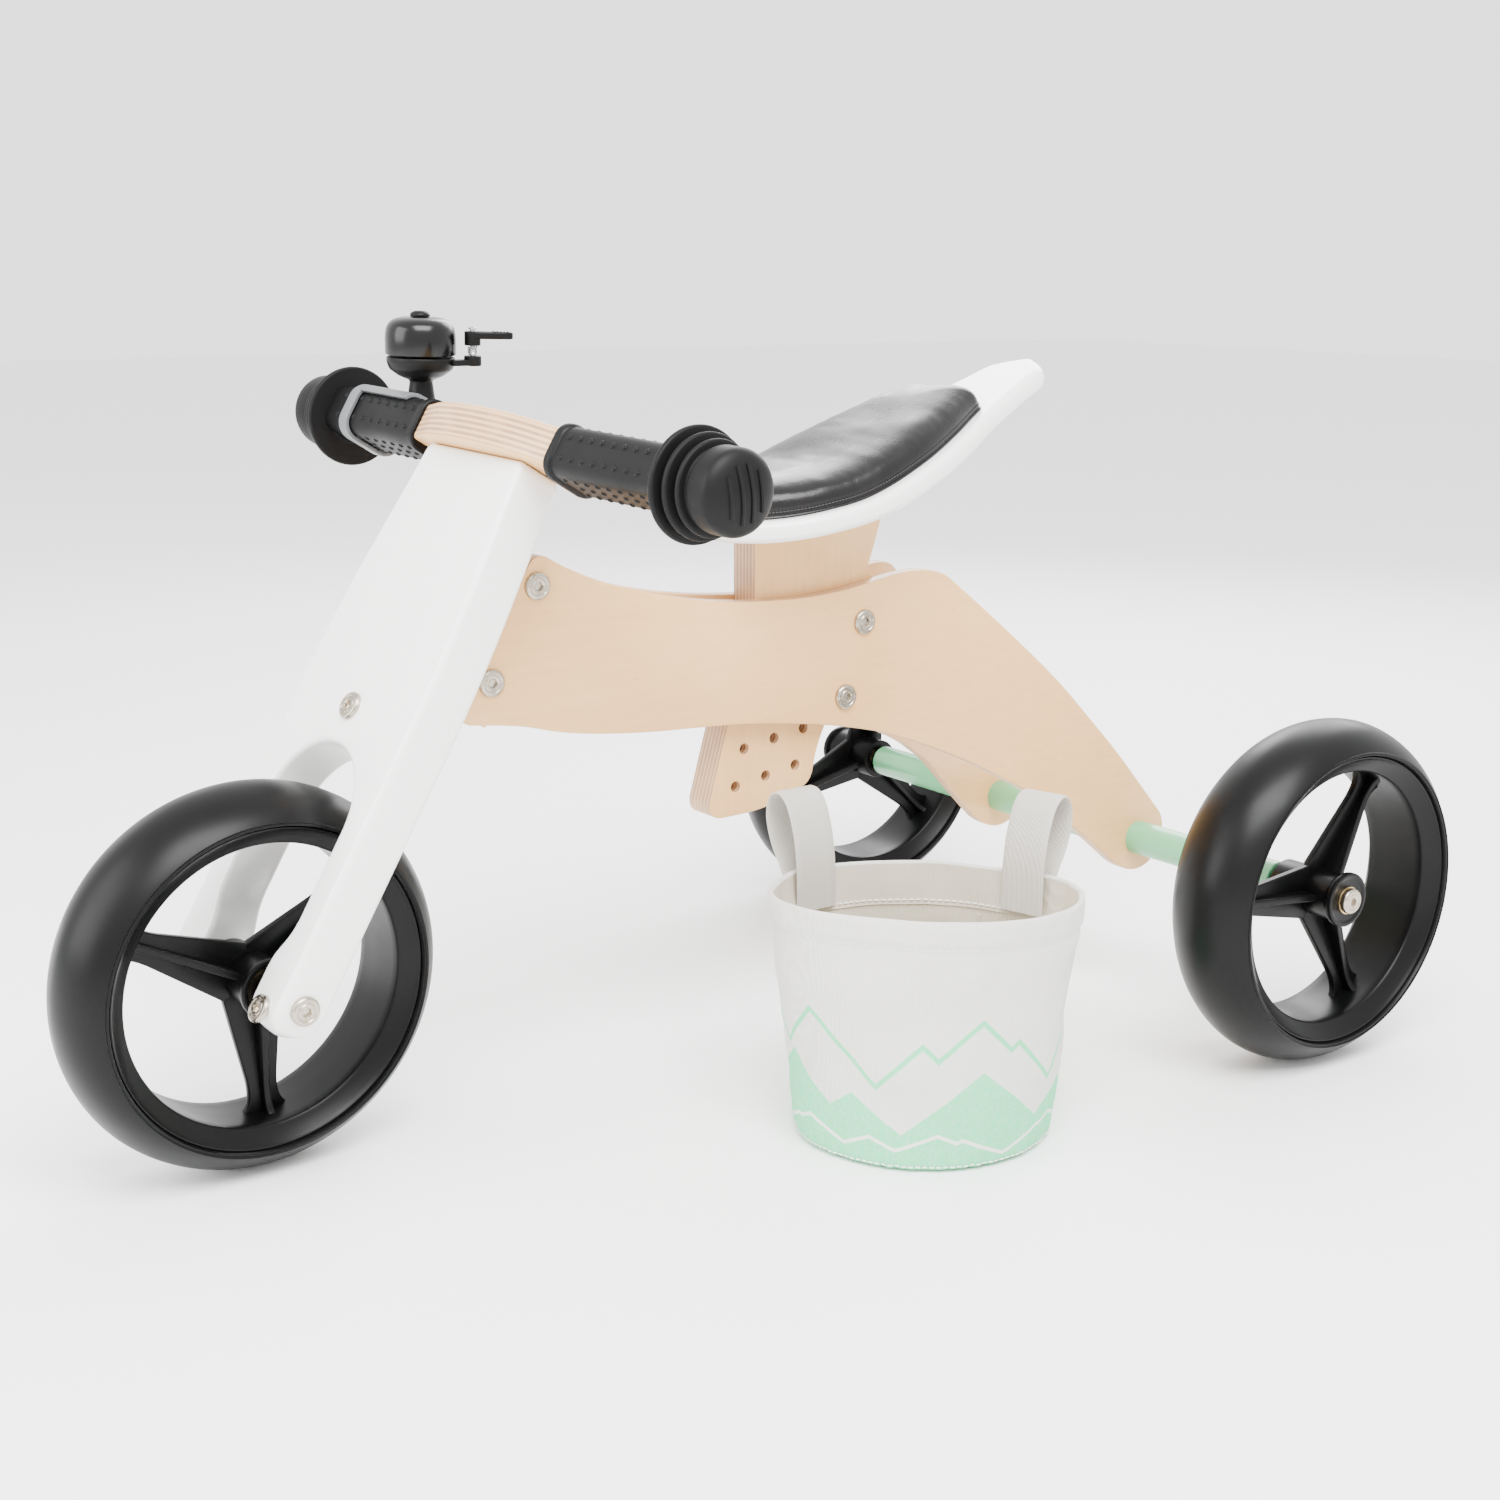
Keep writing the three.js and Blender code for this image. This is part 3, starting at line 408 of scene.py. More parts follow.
def weave(look, scale, depth, strength=0.6):
    """A plain weave in all three directions, so that it needs no map."""
    height = None
    for stretch in ((1, 0, 0), (0, 1, 0), (0, 0, 1)):
        wave = look.node("ShaderNodeTexWave", {"Vector": look.place(stretch), "Scale": scale}).outputs["Fac"]
        height = look.math("ADD", height, wave) if height else wave
    fuzz = look.noise(1500.0, (1, 1, 1), 2.0)
    height = look.math("ADD", look.math("MULTIPLY", height, 0.33), look.math("MULTIPLY", fuzz, 0.3))
    look.raise_by(height, depth, strength)
    return height


DULL = {"Specular_IOR_Level": 0.14}
MATERIALS = {
    "plate": birch("birch_plate", plate_layer, 2.5, (3.0, 30.0, 30.0), (0, 1, 0)),
    "post": birch("birch_post", post_layer, 6.5, (30.0, 30.0, 3.0), (0, 1, 0)),
    "bar": birch("birch_bar", bar_layer, 6.5, (30.0, 3.0, 30.0), steer_up),
    "white": lacquer("white_lacquer", (0.87, 0.87, 0.85)),
    "mint": lacquer("mint_lacquer", (0.13, 0.42, 0.20), 0.36),
    "tyre": satin("foam_tyre", (0.0025, 0.0025, 0.0027), 0.34, 0.3, **DULL).material,
    "nylon": satin("black_nylon", (0.002, 0.002, 0.0022), 0.34, 0.3, **DULL).material,
    "grip": satin("grip_rubber", (0.003, 0.003, 0.0033), 0.5, 0.3, **DULL).material,
    "nickel": metal("nickel", (0.42, 0.37, 0.30), 0.26),
    "zinc": metal("zinc_steel", (0.52, 0.53, 0.55), 0.34),
    "brass": metal("brass_bush", (0.55, 0.42, 0.22), 0.3),
    "cap": satin("hub_cap", (0.05, 0.055, 0.06), 0.5, 0.3).material,
    "gloss": satin("bell_gloss", (0.002, 0.002, 0.002), 0.2, 0.3, Specular_IOR_Level=0.28).material,
    "plastic": satin("bell_plastic", (0.003, 0.003, 0.003), 0.42, 0.3, **DULL).material,
    "leather": leatherette(),
    "band": satin("clamp_band", (0.11, 0.115, 0.12), 0.4).material,
}

# ---------------------------------------------------------------- outlines
def arc(x, y, radius, start, end, steps=24):
    """Points on a circle, from one angle in degrees to another."""
    angles = [math.radians(start + (end - start) * i / steps) for i in range(steps + 1)]
    return [(x + radius * math.cos(a), y + radius * math.sin(a)) for a in angles]


def bezier(*points, steps=16):
    """A quadratic or cubic curve through its two end points."""
    out = []
    for i in range(steps + 1):
        row = [Vector(p) for p in points]
        while len(row) > 1:
            row = [a.lerp(b, i / steps) for a, b in zip(row, row[1:])]
        out.append(tuple(row[0]))
    return out


def spline(points, steps=8):
    """A smooth curve through all the points."""
    points = [Vector(p) for p in points]
    last = len(points) - 1
    out = []
    for i in range(last):
        before, start, end, after = (points[max(i - 1, 0)], points[i], points[i + 1],
                                     points[min(i + 2, last)])
        for step in range(steps):
            t = step / steps
            v0, v1 = (end - before) / 2, (after - start) / 2
            out.append(tuple((2 * start - 2 * end + v0 + v1) * t ** 3
                             + (3 * end - 3 * start - 2 * v0 - v1) * t ** 2 + v0 * t + start))
    return out + [tuple(points[-1])]


def rounded(points, radius, steps=3, closed=False):
    """A line with its corners rounded."""
    out = []
    count = len(points)
    for i, point in enumerate(points):
        if not closed and i in (0, count - 1):
            out.append(point)
            continue
        p, before, after = Vector(point), Vector(points[i - 1]), Vector(points[(i + 1) % count])
        cut_in = p + (before - p).normalized() * min(radius, (before - p).length / 2)
        cut_out = p + (after - p).normalized() * min(radius, (after - p).length / 2)
        out += bezier(cut_in, p, cut_out, steps=steps)
    return out


def wobble(x, y, z):
    """Smooth unevenness between about -1 and 1."""
    return noise.noise(Vector((x, y, z)))


def along_line(points, x):
    """Height of a line of points at x."""
    ordered = sorted(points)
    for (x0, y0), (x1, y1) in zip(ordered, ordered[1:]):
        if x0 <= x <= x1 and x1 > x0:
            return y0 + (y1 - y0) * (x - x0) / (x1 - x0)
    return ordered[0][1] if x < ordered[0][0] else ordered[-1][1]


# ---------------------------------------------------------------- meshes
def add_piece(name, bm, place, look, body, slot, replaces=(), sharp=38):
    bmesh.ops.remove_doubles(bm, verts=bm.verts, dist=1e-4)
    bmesh.ops.transform(bm, matrix=place, verts=bm.verts)
    bmesh.ops.recalc_face_normals(bm, faces=bm.faces)
    mesh = bpy.data.meshes.new(name)
    bm.to_mesh(mesh)
    bm.free()
    mesh.shade_smooth()
    mesh.set_sharp_from_angle(angle=math.radians(sharp))
    mesh.materials.append(MATERIALS[look])
    piece = bpy.data.objects.new(name, mesh)
    bpy.context.scene.collection.objects.link(piece)
    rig.ride(piece, body)
    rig.slot(piece, slot)
    if replaces:
        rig.replaces(piece, *replaces)
    return piece


def skin(bm, rings, closed_round=True, closed_along=False):
    """Faces between neighbouring rings; a ring of one vertex is a tip."""
    pairs = list(zip(rings, rings[1:]))
    if closed_along:
        pairs.append((rings[-1], rings[0]))
    for low, high in pairs:
        count = max(len(low), len(high))
        for i in range(count if closed_round else count - 1):
            j = (i + 1) % count
            corners = [low[i % len(low)], low[j % len(low)], high[j % len(high)], high[i % len(high)]]
            face = list(dict.fromkeys(corners))
            if len(face) > 2:
                bm.faces.new(face)


def revolve(bm, profile, segments=96, axis="Y", centre=(0, 0, 0)):
    """A profile of (radius, place along the axis) turned about Y or Z.

    A radius may be a function of the angle."""
    rings = []
    for radius, along in profile:
        on_axis = not callable(radius) and radius < 1e-6
        ring = []
        for i in range(1 if on_axis else segments):
            angle = 2 * math.pi * i / segments
            r = radius(angle) if callable(radius) else radius
            a, b = r * math.sin(angle), r * math.cos(angle)
            spot = (a, along, b) if axis == "Y" else (b, a, along)
            ring.append(bm.verts.new(Vector(spot) + Vector(centre)))
        rings.append(ring)
    skin(bm, rings, closed_along=len(rings[0]) > 1 and len(rings[-1]) > 1)


def board(outlines, low, high, bevel, steps=3):
    """A flat sheet with rounded edges, from low to high along Z.

    The first outline is the outside, and the rest are holes."""
    curve = bpy.data.curves.new("outline", "CURVE")
    curve.dimensions = "2D"
    curve.fill_mode = "BOTH"
    curve.extrude = (high - low) / 2 - bevel
    curve.bevel_depth = bevel
    curve.bevel_resolution = steps
    curve.offset = -bevel
    for k, outline in enumerate(outlines):
        area = sum(a[0] * b[1] - b[0] * a[1] for a, b in zip(outline, outline[1:] + outline[:1]))
        points = outline if (area > 0) == (k == 0) else outline[::-1]
        line = curve.splines.new("POLY")
        line.points.add(len(points) - 1)
        for point, (x, y) in zip(line.points, points):
            point.co = (x, y, 0, 1)
        line.use_cyclic_u = True
    holder = bpy.data.objects.new("outline", curve)
    bpy.context.scene.collection.objects.link(holder)
    evaluated = holder.evaluated_get(bpy.context.evaluated_depsgraph_get())
    mesh = bpy.data.meshes.new_from_object(evaluated)
    bm = bmesh.new()
    bm.from_mesh(mesh)
    bpy.data.objects.remove(holder)
    bpy.data.curves.remove(curve)
    bpy.data.meshes.remove(mesh)
    bmesh.ops.remove_doubles(bm, verts=bm.verts, dist=1e-3)
    bmesh.ops.translate(bm, verts=bm.verts, vec=(0, 0, (low + high) / 2))
    return bm


def reshape(bm, rule):
    for vert in bm.verts:
        vert.co = rule(vert.co)
    return bm


def slice_across(bm, axis, places):
    """Extra edges where planes square to an axis cut the mesh, so that it can bend."""
    normal = Vector([float(i == axis) for i in range(3)])
    for place in places:
        bmesh.ops.bisect_plane(bm, geom=bm.verts[:] + bm.edges[:] + bm.faces[:], dist=1e-4,
                               plane_co=normal * place, plane_no=normal)


def merge(bm, other, matrix=None):
    """Adds another mesh to bm."""
    if matrix is not None:
        bmesh.ops.transform(other, matrix=matrix, verts=other.verts)
    mesh = bpy.data.meshes.new("part")
    other.to_mesh(mesh)
    other.free()
    bm.from_mesh(mesh)
    bpy.data.meshes.remove(mesh)
    return bm


def bead_line(bm, path, radius, sides=8):
    """A round line along a path of points, with closed ends."""
    path = [Vector(p) for p in path]
    rings = [[bm.verts.new(path[0])]]
    side = None
    for i, point in enumerate(path):
        ahead = (path[min(i + 1, len(path) - 1)] - path[max(i - 1, 0)]).normalized()
        if side is None:
            side = ahead.orthogonal().normalized()
        side = (side - ahead * side.dot(ahead)).normalized()
        other = ahead.cross(side)
        rings.append([bm.verts.new(point + (side * math.cos(a) + other * math.sin(a)) * radius)
                      for a in (2 * math.pi * k / sides for k in range(sides))])
    rings.append([bm.verts.new(path[-1])])
    skin(bm, rings)


def hexagon(flat):
    """The radius of a hexagonal socket at each angle."""
    sixth = math.pi / 3
    return lambda angle: flat / math.cos((angle + sixth / 2) % sixth - sixth / 2)


# ---------------------------------------------------------------- wheels
def tyre_profile():
    crown = []
    steps = 40
    power = 1.087
    limit = math.radians(59)
    for i in range(-steps, steps + 1):
        angle = limit * i / steps
        side = math.copysign(abs(math.sin(angle)) ** power, angle)
        crown.append((WHEEL_R - TYRE_BULGE + TYRE_BULGE * math.cos(angle) ** power, TYRE_HALF_W * side))
    shoulder = [(85.9, 28.35), (85.5, 28.1), (85.0, 27.7), (84.4, 28.0), (83.9, 28.0), (83.5, 27.3),
                (83.15, 25.9)]
    return crown + shoulder + [(r, -y) for r, y in reversed(shoulder)]


def rim_profile():
    lip = [(82.9, 25.5), (82.5, 26.0), (81.9, 25.9), (81.2, 25.1), (80.4, 24.3), (77.6, 22.3), (75.2, 20.5),
           (74.2, 20.0), (73.4, 19.4), (73.0, 18.4), (72.9, 14.0), (72.6, 4.0)]
    return lip + [(r, -y) for r, y in reversed(lip)]


def spoke_web():
    side = [(6.6, 16), (55, 8.2)] + bezier((55, 8.2), (67, 6.6), (71, 9.5), (74.2, 14.5), steps=8)
    return side + [(x, -y) for x, y in reversed(side)]


def spoke_rib():
    side = [(6.6, 14.6), (58, 7.0)] + bezier((58, 7.0), (68, 6.0), (72, 8), (74.2, 11), steps=6)
    return side + [(x, -y) for x, y in reversed(side)]


def wheel(place, hub, body, turn, dished):
    bm = bmesh.new()
    revolve(bm, tyre_profile(), 160)
    add_piece(f"tyre_{place}_skin", bm, hub, "tyre", body, "tyre", [f"tyre_{place}"], 24)

    bm = bmesh.new()
    revolve(bm, rim_profile(), 128)
    barrel = [(HUB_R - 4, -21.5), (HUB_R, -21.5), (HUB_R, 19.0), (15.0, 21.0), (15.8, 21.6), (15.8, 25.0),
              (13.6, 25.2)] + ([(12.4, 23.4), (8.2, 22.6)] if dished else [(12.6, 24.6), (7.4, 24.4)])
    revolve(bm, rounded(barrel, 0.9, 2) + [(7.0, 20.0), (7.0, -19.0)], 64)
    for k in range(3):
        angle = math.radians(turn + 120 * k)
        radial = Matrix.Rotation(-angle, 4, "Y")
        merge(bm, board([spoke_web()], -2.2, 2.2, 0.9, 2), radial @ Matrix.Rotation(math.pi / 2, 4, "X"))
        merge(bm, board([spoke_rib()], -2.0, 2.0, 0.9, 2), radial)
    add_piece(f"rim_{place}_moulding", bm, hub, "nylon", body, "wheel_plastic", [f"rim_{place}"], 32)

    bm = bmesh.new()
    revolve(bm, rounded([(4.3, -21.6), (6.4, -21.6), (6.4, 24.0), (8.0, 24.4), (8.0, 25.6),
                         (4.3, 25.6)], 0.3, 2), 48)
    add_piece(f"bush_{place}_turned", bm, hub, "brass", body, "bush_steel", [f"bush_{place}"])


wheel("rear_left", LEFT_HUB, "rear_wheel_left", 3, False)
wheel("rear_right", RIGHT_HUB, "rear_wheel_right", -18, False)
wheel("front", FRONT_HUB, "front_wheel", 26, True)


# ---------------------------------------------------------------- fasteners
def bolt_head(name, place, body, node, radius=7.2, thick=2.6, look="nickel", slot="nickel", ring=4.7):
    """A turned head with a shallow ring and a hexagonal socket, facing along Y."""
    outside = rounded([(radius, 0.0), (radius, thick - 0.9), (radius - 1.0, thick),
                       (ring + 0.5, thick)], 0.35, 2)
    groove = [(ring + 0.1, thick - 0.35), (ring - 0.4, thick - 0.35), (ring - 0.8, thick)]
    socket = [(2.75, thick), (hexagon(2.2), thick - 0.25), (hexagon(2.1), thick - 1.7), (0.0, thick - 1.7)]
    bm = bmesh.new()
    revolve(bm, [(0.0, 0.0)] + outside + groove + socket, 72)
    return add_piece(name, bm, place, look, body, slot, [node], 30)


def facing_y(spot, sign=1):
    """A place in the row frame, its Y pointing to the left or the right of the bike."""
    return WORLD @ Matrix.Translation(spot) @ Matrix.Scale(sign, 4, (0, 1, 0))


for which in ("head_upper", "head_lower", "post_upper", "post_lower"):
    for part, sign in (("bolt", 1), ("nut", -1)):
        low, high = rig.box(f"{which}_{part}")
        middle = (low + high) / 2 / MM
        bolt_head(f"{which}_{part}_head", facing_y((middle.x, sign * 20.0, middle.z), sign), "frame",
                  f"{which}_{part}")

ROD_END = 235.7
for side, sign in (("left", 1), ("right", -1)):
    bolt_head(f"rear_axle_head_{side}", facing_y((REAR_X, sign * (ROD_END + 0.3), WHEEL_R), sign), "frame",
              f"rear_axle_bolt_{side}", 7.4, 2.6)
    out = Matrix.Scale(sign, 4, (0, 1, 0))
    bolt_head(f"front_axle_head_{side}", FORK @ out @ Matrix.Translation((0, 58.5, 0)), "steering",
              f"front_axle_bolt_{side}", 7.4, 2.8)
    forward = Matrix.Rotation(-math.pi / 2, 4, "Z")
    bolt_head(f"fork_screw_{side}_head", FORK @ Matrix.Translation((FORK_T / 2, sign * 44, -8)) @ forward,
              "steering", f"fork_screw_{side}")
    upward = Matrix.Rotation(math.pi / 2, 4, "X")
    bolt_head(f"bar_screw_{side}_head",
              FORK @ Matrix.Translation((0, sign * 25, BAR_LOW + BAR_T)) @ upward, "steering",
              f"handlebar_screw_{side}", 6.4, 2.2)
bolt_head("steering_bolt_head", FORK @ Matrix.Translation((FORK_T / 2, 0, 143)) @ Matrix.Rotation(
    -math.pi / 2, 4, "Z"), "steering", "steering_bracket_bolt")


# ---------------------------------------------------------------- frame
def plate_outline():
    top = spline([(REAR_X + 22.5 * math.cos(math.radians(150)), 102 + 22.5 * math.sin(math.radians(150))),
                  (-243, 173), (-217, 203), (-195, 226), (-176, 245), (-156, 264), (-147, 271), (-135, 273.5),
                  (-122, 272.5)])
    top += spline([(-122, 272.5), (-100, 268.5), (-75, 265), (-45, 263.5), (-5, 265.5), (35, 271.5),
                   (75, 282),
                   (100, 292), (113, 299)])[1:]
    nose = bezier((113, 299), (120, 302), (124, 295)) + bezier((165, 225), (168, 219), (160, 216))
    under = spline([(160, 216), (131, 212), (107, 206), (83, 202), (51, 199), (19, 197.5), (-8, 196),
                    (-36, 193),
                    (-64, 189), (-94, 183), (-123, 175), (-159, 160), (-183, 147), (-202, 135), (-232, 110),
                    (-258, 87)])[1:]
    heel = bezier((-258, 87), (-278, 72), (REAR_X - 15, 84.5))[1:]
    return top + nose + under + heel + arc(REAR_X, 102, 22.5, 228, 150)[1:-1]


def flare(x):
    t = min(max((FLARE_FRONT - x) / (FLARE_FRONT - FLARE_REAR), 0.0), 1.0)
    return FLARE * t * t * (3 - 2 * t)


def side_plate(side, sign):
    bm = board([plate_outline()], PLATE_IN, PLATE_IN + PLY, 0.9)
    strips = 44
    width = (FLARE_FRONT - FLARE_REAR) / strips
    slice_across(bm, 0, [FLARE_REAR + width * i for i in range(strips + 1)])
    reshape(bm, lambda p: Vector((p.x, sign * (p.z + flare(p.x)), p.y)))
    add_piece(f"plate_{side}", bm, WORLD, "plate", "frame", "side_plywood", [f"side_plate_{side}"], 40)


side_plate("left", 1)
side_plate("right", -1)

SEAT_UNDER = spline([(30, 303), (5, 299.8), (-20, 301), (-47, 305), (-75, 311.5), (-119, 328.5), (-170, 350),
                     (-211, 368), (-245, 383)])
POST_HOLES = [(-18.2, 179), (-39.1, 182.6), (-59.9, 186.1), (-12.2, 157.6), (-33.3, 161.2), (-54.3, 164.8)]


def seat_post():
    front = bezier((-25, 262), (-25, 235), (-12, 215), (-7, 195)) + bezier((5.5, 151), (7, 141), (-3, 140.5))
    foot = bezier((-18, 141), (-38, 142), (-48, 147), (-59, 151)) + bezier((-59, 151), (-66, 153),
                                                                           (-67.5, 163))
    back = bezier((-67.5, 163), (-72, 190), (-97, 215), (-106, 245)) + bezier(
        (-106, 245), (-114, 262), (-110, 270)) + bezier((-110, 270), (-105, 273), (-106, 277)) + bezier(
        (-106, 277), (-111, 291), (-122, 327), steps=8)
    steps = 12
    xs = [-122 + 97 * i / steps for i in range(steps + 1)]
    top = [(x, along_line(SEAT_UNDER, x) - 0.4) for x in xs]
    holes = [arc(x, z, 3.1, 0, 345, 23) for x, z in POST_HOLES]
    outline = front + foot + back[:-1] + top
    outline = [p for i, p in enumerate(outline) if (Vector(p) - Vector(outline[i - 1])).length > 0.05]
    bm = board([outline] + holes, -POST_HALF, POST_HALF, 0.7)
    reshape(bm, lambda p: Vector((p.x, p.z, p.y)))
    add_piece("post", bm, WORLD, "post", "frame", "post_plywood", ["seat_post"], 40)


seat_post()

bm = bmesh.new()
revolve(bm, rounded([(4.4, -BEAM_HALF), (BEAM_R, -BEAM_HALF), (BEAM_R, BEAM_HALF), (4.4, BEAM_HALF)],
                    1.2, 3), 72)
add_piece("beam", bm, WORLD @ Matrix.Translation((REAR_X, 0, WHEEL_R)), "mint", "frame", "mint_beam",
          ["rear_beam"])

# ---------------------------------------------------------------- saddle
def saddle_half(inset=0.0, tail=-242.0):
    """Half the saddle's plan outline, from the nose back along the left side."""
    half = spline([(21, 0), (18, 18), (8, 36), (-12, 52), (-45, 62), (-85, 65), (-120, 60), (-150, 50),
                   (-180, 37),
                   (-210, 28), (-230, 22), (-242, 0)])
    out = []
    for i, point in enumerate(half):
        ahead = Vector(half[min(i + 1, len(half) - 1)]) - Vector(half[max(i - 1, 0)])
        inward = Vector((-ahead.y, ahead.x)).normalized()
        spot = Vector(point) + inward * inset
        if spot.x > tail and spot.y > 0.5:
            out.append((spot.x, spot.y))
    return out


def whole(half):
    return half + [(x, -y) for x, y in reversed(half)]


def on_saddle(x, y, up):
    """A point so far above the saddle's underside, square to it."""
    low, high = along_line(SEAT_UNDER, x - 2), along_line(SEAT_UNDER, x + 2)
    normal = Vector((low - high, 4)).normalized()
    return Vector((x + normal.x * up, y, along_line(SEAT_UNDER, x) + normal.y * up))


bm = board([whole(saddle_half())], 0, SEAT_T, 4.5, 4)
slice_across(bm, 0, [-238 + i * 4.3 for i in range(60)])
reshape(bm, lambda p: on_saddle(p.x, p.y, p.z))
add_piece("saddle_board", bm, WORLD, "white", "frame", "white_board", ["seat_board"], 50)


def pad_loop():
    """The pad's outline, evenly stepped, its square tail rounded."""
    half = saddle_half(9.0, -178.0)
    corner = half[-1]
    half = half[:-1] + bezier(corner, (-180, corner[1] - 2), (-180, corner[1] - 9), steps=5) + [(-180, 8)]
    loop = [Vector(p) for p in whole(half)]
    lengths = [(b - a).length for a, b in zip(loop, loop[1:] + loop[:1])]
    step = sum(lengths) / 240
    out, due = [], 0.0
    for a, b, length in zip(loop, loop[1:] + loop[:1], lengths):
        while due < length:
            out.append(a.lerp(b, due / length))
            due += step
        due -= length
    return out


def seat_pad():
    loop = pad_loop()
    profile = [(0.90, 12.2), (0.985, 12.3), (1.0, 13.0), (1.004, 14.5), (0.996, 15.6), (1.002, 17.2),
               (0.995, 19.6),
               (0.98, 21.8), (0.955, 23.8), (0.92, 25.4), (0.88, 26.7), (0.83, 27.8), (0.76, 28.8),
               (0.68, 29.5),
               (0.58, 30.1), (0.46, 30.6), (0.34, 30.9), (0.22, 31.1), (0.1, 31.2)]
    bm = bmesh.new()
    rings = []
    for share, up in profile:
        ring = []
        for k, point in enumerate(loop):
            core = Vector((min(max(point.x, -150), -25), 0))
            spot = core + (point - core) * share
            slack = 1.0 - share
            fold = wobble(k * 0.55, share * 4, 3) * 0.4 * max(0.0, 1 - 6 * abs(slack - 0.08))
            dent = wobble(spot.x * 0.035, spot.y * 0.05, 8) * 0.7 * min(1.0, slack * 5)
            ripple = wobble(spot.x * 0.12, spot.y * 0.05, 1) * 0.12 * min(1.0, slack * 6)
            lift = 0.0 if up < 15 else fold + dent + ripple
            ring.append(bm.verts.new(on_saddle(spot.x, spot.y, up + lift)))
        rings.append(ring)
    skin(bm, rings)
    bm.faces.new(rings[-1])
    bm.faces.new(list(reversed(rings[0])))
    bmesh.ops.triangulate(bm, faces=[f for f in bm.faces if len(f.verts) > 4])
    pad = add_piece("saddle_pad", bm, WORLD, "leather", "frame", "saddle_cover", ["seat_pad"], 70)
    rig.padded(pad, fill=0.75)
    welt = bmesh.new()
    path = [on_saddle(p.x, p.y, 12.9) for p in loop]
    bead_line(welt, path + path[:1], 0.9)
    add_piece("saddle_welt", welt, WORLD, "leather", "frame", "saddle_cover")
    seam = bmesh.new()
    for k in range(len(loop)):
        core = Vector((min(max(loop[k].x, -150), -25), 0))
        after = loop[(k + 1) % len(loop)]
        start, end = core + (loop[k] - core) * 1.006, core + (loop[k].lerp(after, 0.68) - core) * 1.006
        bead_line(seam, [on_saddle(start.x, start.y, 15.6), on_saddle(end.x, end.y, 15.6)], 0.28, 6)
    add_piece("saddle_stitching", seam, WORLD, "thread_dark", "frame", "saddle_cover")


# ---------------------------------------------------------------- fork and bars
def fork_outline():
    shoulder = bezier((40, FORK_TOP), (44.5, FORK_TOP), (45, 280)) + spline(
        [(45, 280), (47.5, 260), (51.5, 232), (55, 204), (57.5, 172), (58.5, 140)])[1:]
    prong = [(58.5, 60)] + bezier((58.5, 4), (58.5, -17), (45, -17)) + bezier((45, -17), (31, -17),
                                                                              (31, -3))[1:]
    inner = bezier((31, 10), (31, 24), (39, 24), (39, 42)) + [(39, 63)]
    half = shoulder + prong + inner
    arch = arc(0, SLOT_ARCH, SLOT_HALF_W, 0, 180, 48)
    return half + arch + [(-x, y) for x, y in reversed(half)]


bm = board([fork_outline()], -FORK_T / 2, FORK_T / 2, 3.5, 4)
slice_across(bm, 1, [-16.8 + 0.7 * i for i in range(20)])


def round_prong(p):
    low = min(max((-3.5 - p.y) / (FORK_T / 2), 0.0), 0.999)
    return Vector((p.z * math.sqrt(1 - low * low), p.x, p.y))


reshape(bm, round_prong)
add_piece("fork", bm, FORK, "white", "steering", "white_board", ["fork_board"], 50)

side = spline([(24, 0), (23, 20), (19.8, 40), (14, 58), (11.5, 70), (10.5, 120), (9.5, 164)]) + bezier(
    (9.5, 164), (9, 172), (1, 172)) + bezier((-7, 172), (-15, 172), (-15, 164))
side += spline([(-15, 164), (-16, 120), (-17, 70), (-18, 40), (-18, 0)])[1:]
bm = board([side + [(x, -y) for x, y in reversed(side)][1:-1]], BAR_LOW, BAR_LOW + BAR_T, 2.2, 4)
add_piece("bar", bm, FORK, "bar", "steering", "bar_plywood", ["handlebar"], 40)


# ---------------------------------------------------------------- grips
def grip_loop(extra=0.0):
    """The sleeve's section, (n, u), grown by extra, starting at the top right."""
    corner = 8.0 + extra
    out = []
    for quarter, (sx, sy) in enumerate(((1, 1), (-1, 1), (-1, -1), (1, -1))):
        x = GRIP_CENTRE + sx * (GRIP_HALF_W + extra - corner)
        y = BAR_MIDDLE + sy * (GRIP_HALF_T + extra - corner)
        out += arc(x, y, corner, 90 * quarter, 90 * quarter + 90, 12)
    return out


def dome(bm, spot, out, radius, height):
    """A small soft nub standing on a surface."""
    turn = Vector((0, 0, 1)).rotation_difference(Vector(out)).to_matrix().to_4x4()
    nub = bmesh.new()
    revolve(nub, [(radius * 1.15, -0.6), (radius * 1.1, 0.0), (radius * 0.92, height * 0.45),
                  (radius * 0.6, height * 0.85), (0.0, height)], 16, "Z")
    merge(bm, nub, Matrix.Translation(spot) @ turn)


